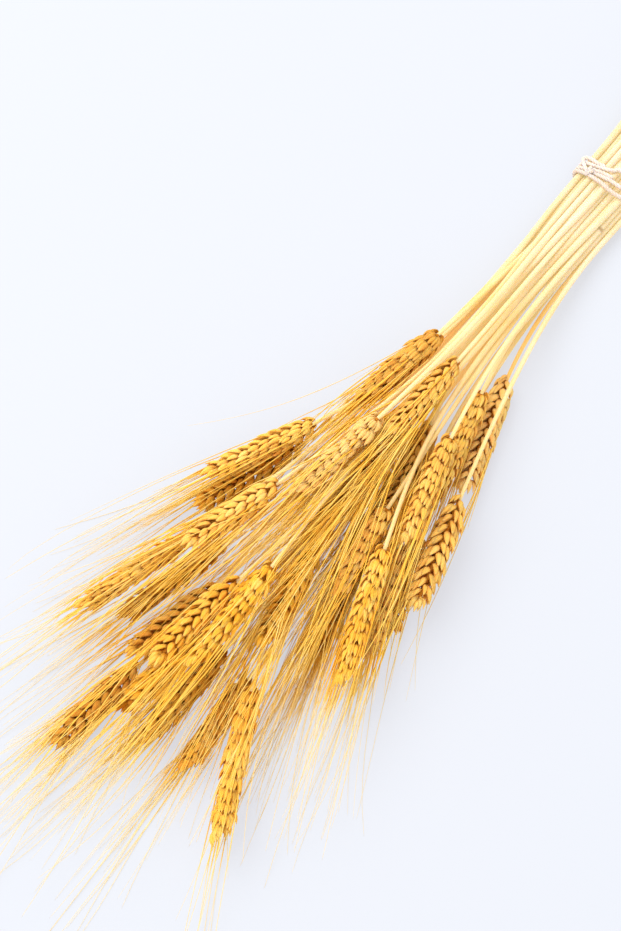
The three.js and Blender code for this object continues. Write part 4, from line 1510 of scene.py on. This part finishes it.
@dataclass(frozen=True)
class Dressing:
    """A finish of the dry plant or the string.

    Fields: its name, its colours from pale to deep, how many fibres run round it, how long
    they are, how rough it is, how strongly its fibres stand out, the size of its patches, its
    shine, how much light passes into it, how strongly it glows with painted light that lifts
    its shade and in what colour, how fuzzy it is, how high the fibres stand and how deep the
    light goes, both in metres, and how far it goes in red, green and blue.
    """

    name: str
    colours: tuple[str, str, str]
    count: float
    run: float
    roughness: tuple[float, float]
    relief: float
    patches: float
    shine: float
    glow: float = 0.0
    painted_glow: float = 0.0
    painted_glow_colour: str = "ece49a"
    fuzz: float = 0.0
    relief_height: float = 0.0003
    glow_depth: float = 0.003
    glow_reach: tuple[float, float, float] = (1.0, 0.7, 0.35)

    def constants(self) -> dict[str | int, Given]:
        """Gathers the numbers that are the same all over the surface.

        Returns:
            For each of the shader's own inputs, its value.
        """
        same = {"Specular IOR Level": self.shine, "Sheen Weight": self.fuzz}
        if self.glow:
            same["Subsurface Weight"] = self.glow
            same["Subsurface Scale"] = self.glow_depth
            same["Subsurface Radius"] = self.glow_reach
        # Painted light: a faint glow in the straw's own colour that lifts the shade between the
        # straws.
        if self.painted_glow:
            same["Emission Color"], same["Emission Strength"] = linear(self.painted_glow_colour), self.painted_glow
        return same


DRESSINGS = {
    # The straw's glow is painted light that lifts the shade between the straws.
    Finish.STRAW: Dressing(
        "dry_straw", ("d8c2ae", "ccb692", "cca24a"),
        46, 0.5, (0.5, 0.7), 0.25, 26, 0.25, 0.75, painted_glow=0.25,
    ),
    Finish.HUSK: Dressing(
        "dry_husk", ("ffd67c", "ffba30", "dc8006"), 26, 1.0, (0.6, 0.8), 0.5, 70, 0.06, 0.4
    ),
    Finish.AWN: Dressing(
        "dry_awn", ("ffe692", "ffd156", "f2aa24"), 6, 2.0, (0.5, 0.6), 0.1, 40, 0.06
    ),
    Finish.STRING: Dressing(
        "cotton_string", ("ecdccf", "e3d1c4", "d0baa8"),
        60, 3.0, (0.8, 0.95), 0.5, 200, 0.15, 0.3, fuzz=0.3,
    ),
}


@dataclass
class Palette:
    """Makes the materials of the bundle and of the surface that it lies on.

    Fields: where the three colours of a finish lie on its ramp, the tints that only one
    finish has, several of which are painted light and shade, how much of a husk's painted shade
    its paleness takes away, and the surface's looks.
    """

    stops: tuple[float, float, float] = (0.12, 0.5, 0.9)
    near_ear: Tint = Tint("f0bf5c", 0.4)
    # painted shade: straws low in the heap near the ears turn orange; part of it is each straw's own
    # tone
    deep_tone_and_shade: Tint = Tint("e39a2e", 0.8)
    joint: Tint = Tint("7a4a20", 0.8)
    inside: Tint = Tint("b98a4a")
    # pale colour of paler ears: partly fading, partly painted light on ears that lie in shade
    faded_and_lit: Tint = Tint("eec283", 0.8)
    faded_kept: float = 0.7
    shaded: Tint = Tint("bc6c04", 0.8)
    # paler husk tips: partly their own colour, partly a painted highlight
    husk_tip: Tint = Tint("ffdf94", 0.3)
    # darkening colour of darker ears: partly their own tone, partly painted shade
    dark: Tint = Tint("b08a40")
    # paler colour of awns out in the open: painted light
    pale_awn: Tint = Tint("fbe3aa", 0.85)
    # painted shade in the grooves between the string's plies
    groove: Tint = Tint("cfae8c", 0.6)
    surface: tuple[str, str] = ("7c7e81", "7e8184")
    surface_lit: Tint = Tint("f2f4fd", 0.61)
    surface_rough: float = 0.9
    surface_shine: float = 0.2

    def __post_init__(self) -> None:
        """Makes the shared groups and one material for each finish."""
        self.fibres = fibre_group()
        self.wear_and_shade = wear_and_shade_group()
        self.materials = {kind: self.dress(kind, DRESSINGS[kind]) for kind in Finish}

    def start(self, name: str) -> tuple[bpy.types.Material, Weave, bpy.types.Node]:
        """Starts a material.

        Args:
            name: the material's name.

        Returns:
            The material, the weave of its nodes and its shader.
        """
        material = bpy.data.materials.new(name)
        material.use_nodes = True
        tree = material.node_tree
        return material, Weave(tree), tree.nodes["Principled BSDF"]

    def dress(self, kind: Finish, look: Dressing) -> bpy.types.Material:
        """Makes the material of a finish.

        Args:
            kind: the finish.
            look: its colours and sizes.

        Returns:
            The material.
        """
        material, w, shader = self.start(look.name)
        along, around, tone = w.value("along"), w.value("around"), w.value("tone")
        fibres = {"Along": along, "Around": around, "Count": look.count, "Run": look.run}
        fibres["Shift"] = w.value("shift") if kind in (Finish.HUSK, Finish.AWN) else tone
        streak = w.group(self.fibres, fibres)
        depth = w.group(self.wear_and_shade, {"Scale": look.patches, "Tone": tone, "Streak": streak})
        colour = w.ramp(depth, tuple(zip(self.stops, map(linear, look.colours))))
        relief = {"Height": streak, "Strength": look.relief, "Distance": look.relief_height}
        surface = {
            "Base Color": self.details(w, kind, colour, along),
            "Roughness": w.spread(streak, 0, 1, *look.roughness),
            "Normal": w.node("Bump", relief).outputs[0],
        }
        w.feed(shader, {**surface, **look.constants()})
        return material

    def details(self, w: Weave, kind: Finish, colour: Socket, along: Socket) -> Socket:
        """Adds what only one finish has: dark joints and darker insides of the cut ends on straws,
        and painted light and shade: a deeper tone on low straws near the ears, shade on the feet and
        inner sides of husks, part of the husk tips' paleness and of each ear's paleness and
        darkness, paler awns out in the open, and shade in the grooves of the string.

        Args:
            w: the weave of the material.
            kind: the finish.
            colour: its colour so far.
            along: how far along the straw, the husk or the awn a point lies.

        Returns:
            The finished colour.
        """
        if kind is Finish.STRAW:
            near_ear = w.math("SUBTRACT", 1.0, w.value("low"))
            colour = w.tint(colour, w.times(near_ear, self.near_ear.share), self.near_ear)
            # Painted shade on the straws that lie low in the heap near the ears, with some of each
            # straw's own tone.
            deep_tone_and_shade = w.spread(w.value("tone"), 0.6, 0.9, 0.0, self.deep_tone_and_shade.share)
            colour = w.tint(colour, w.times(near_ear, deep_tone_and_shade), self.deep_tone_and_shade)
            colour = w.tint(colour, w.times(w.value("joint"), self.joint.share), self.joint)
            return w.tint(colour, w.value("inside"), self.inside)
        if kind is Finish.HUSK:
            # Paler ears: partly fading, partly painted light; they keep less of the painted shade
            # below.
            faded_and_lit = w.times(w.value("faded_and_lit"), self.faded_and_lit.share)
            kept = w.math("SUBTRACT", 1.0, w.times(faded_and_lit, self.faded_kept))
            colour = w.blend(faded_and_lit, colour, w.tint(colour, self.faded_and_lit.share, self.faded_and_lit))
            # Painted shade on the inner sides and the foot of each husk, where the husks overlap;
            # paler ears keep less of it.
            rise = w.math("SINE", w.times(w.value("around"), 2 * math.pi))
            edge = w.spread(rise, -0.1, 0.6, self.shaded.share, 0.0)
            foot = w.spread(along, 0.0, 0.35, self.shaded.share, 0.0)
            colour = w.tint(colour, w.times(w.math("MAXIMUM", foot, edge), kept), self.shaded)
            # Paler tips of the husks: partly their own colour, partly a painted highlight.
            tip = w.spread(along, 0.75, 1.0, 0.0, self.husk_tip.share)
            colour = w.tint(colour, tip, self.husk_tip)
            # Darker ears: partly their own tone, partly painted shade.
            return w.blend(w.value("dark"), colour, linear(self.dark.code), "MULTIPLY")
        if kind is Finish.AWN:
            # Painted light: awns that lie out in the open turn paler.
            pale = w.times(w.value("faded_and_lit"), self.pale_awn.share)
            return w.tint(colour, pale, self.pale_awn)
        # Painted shade in the grooves between the plies.
        groove = w.spread(w.value("ply"), 0.0, 0.5, self.groove.share, 0.0)
        return w.tint(colour, groove, self.groove)

    def floor(self) -> bpy.types.Material:
        """Makes the material of the pale surface, with a faint cool tint.

        Returns:
            The material.
        """
        material, w, shader = self.start("pale_surface")
        place = w.node("TexCoord").outputs["Object"]
        noise = w.node("TexNoise", {"Vector": place, "Scale": 1.5, "Detail": 2.0})
        surface = {
            "Base Color": w.blend(noise.outputs["Fac"], *map(linear, self.surface)),
            "Emission Color": linear(self.surface_lit.code),
            "Emission Strength": self.surface_lit.share,
            "Roughness": self.surface_rough,
            "Specular IOR Level": self.surface_shine,
        }
        w.feed(shader, surface)
        return material


@dataclass
class Studio:
    """The pale surface, the soft light and the camera. Lights and target are in metres."""

    eye: tuple[float, float, float] = (-413.9, -150.5, 781.8)
    azimuth: float = 48.3
    elevation: float = 72.0
    lens: float = 60.0
    film: float = 36.0
    clip: tuple[float, float] = (0.01, 20.0)
    floor_half: float = 12000.0
    target: tuple[float, float, float] = (-0.2, -0.02, 0.02)
    lights: tuple = (("key", (-0.25, 1.0, 1.7), 36.0, 1.8), ("fill", (-1.2, -1.2, 1.6), 4.0, 1.8))
    sky: tuple[float, float, float] = (0.97, 0.98, 1.0)
    sky_strength: float = 1.1

    def build(self, palette: Palette) -> None:
        """Sets up the floor, the lights, the sky and the camera.

        Args:
            palette: the materials.
        """
        scene = bpy.context.scene
        half = self.floor_half * MM
        corners = [(-half, -half, 0), (half, -half, 0), (half, half, 0), (-half, half, 0)]
        mesh = bpy.data.meshes.new("floor")
        mesh.from_pydata(corners, [], [(0, 1, 2, 3)])
        mesh.materials.append(palette.floor())
        floor = bpy.data.objects.new("floor", mesh)
        scene.collection.objects.link(floor)
        for name, at, power, size in self.lights:
            self.light(name, Vector(at), power, size)
        scene.world = bpy.data.worlds.new("studio")
        scene.world.use_nodes = True
        background = scene.world.node_tree.nodes["Background"]
        background.inputs["Color"].default_value = (*self.sky, 1.0)
        background.inputs["Strength"].default_value = self.sky_strength
        scene.view_settings.view_transform = "Standard"
        self.camera(scene)

    def light(self, name: str, at: Vector, power: float, size: float) -> None:
        """Adds a square area light that points at the target.

        Args:
            name: its name.
            at: where it hangs, in metres.
            power: in watts.
            size: the length of its side, in metres.
        """
        data = bpy.data.lights.new(name, "AREA")
        data.energy, data.size = power, size
        lamp = bpy.data.objects.new(name, data)
        lamp.location = at
        lamp.rotation_euler = (Vector(self.target) - at).to_track_quat("-Z", "Y").to_euler()
        bpy.context.scene.collection.objects.link(lamp)

    def camera(self, scene: bpy.types.Scene) -> None:
        """Adds the camera at the photograph's angle, looking down on the bundle.

        Args:
            scene: the scene that it films.
        """
        turn, tilt = math.radians(self.azimuth), math.radians(self.elevation)
        right = Vector((math.cos(turn), -math.sin(turn), 0))
        ahead = Vector((math.sin(turn), math.cos(turn), 0))
        up = ahead * math.sin(tilt) + Vector((0, 0, math.cos(tilt)))
        data = bpy.data.cameras.new("camera")
        data.lens, data.sensor_width = self.lens, self.film
        data.clip_start, data.clip_end = self.clip
        camera = bpy.data.objects.new("camera", data)
        camera.location = Vector(self.eye) * MM
        camera.rotation_euler = Matrix((right, up, right.cross(up))).transposed().to_euler()
        scene.collection.objects.link(camera)
        scene.camera = camera


def compare(sheaf: Sheaf) -> float:
    """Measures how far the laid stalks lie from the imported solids.

    Args:
        sheaf: the laid stalks.

    Returns:
        The greatest distance between the middles of two boxes, in millimetres.
    """
    worst = 0.0
    for stalk in range(sheaf.count):
        low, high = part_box(f"stem_{stalk + 1:02d}")
        line = sheaf.point(stalk, np.arange(sheaf.neck_x[stalk], sheaf.cut_x[stalk], 1.0))
        middle = (np.array(low) + np.array(high)) / 2 / MM
        laid = (line.min(0) + line.max(0)) / 2
        worst = max(worst, float(np.abs(middle - laid)[1:].max()))
    return worst


def hand_over(piece: bpy.types.Object, node: str) -> None:
    """Rides a piece on the bundle, in the place of its node, and reports it.

    Args:
        piece: the finished piece.
        node: the node that it replaces.
    """
    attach(piece, "root")
    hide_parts(node)
    log.info("%s: %d faces, in the place of %s", piece.name, len(piece.data.polygons), node)


def main() -> None:
    """Builds the bundle piece by piece, then the studio round it."""
    logging.basicConfig(level=logging.INFO, format="%(name)s: %(message)s")
    sheaf = Sheaf()
    log.info("stalks lie within %.2f mm of the solids", compare(sheaf))
    palette = Palette()
    straws, ears, string = StrawMaker(sheaf), EarMaker(sheaf), StringMaker(sheaf)
    rng = np.random.default_rng(7)
    built = [ears.build(stalk, rng) for stalk in range(sheaf.count)]
    awns = Awns(sheaf, [parts[1:] for parts in built])
    for stalk, (skin, *_) in enumerate(built):
        number = f"{stalk + 1:02d}"
        awns.add(skin, stalk)
        ear = skin.piece(f"ear_{number}", palette.materials)
        straw = straws.build(stalk, rng).piece(f"straw_{number}", palette.materials)
        hand_over(ear, f"head_{number}")
        hand_over(straw, f"stem_{number}")
    tie = string.build().piece("tie_string", palette.materials)
    hand_over(tie, "twine")
    Studio().build(palette)


if __name__ == "__main__":
    main()
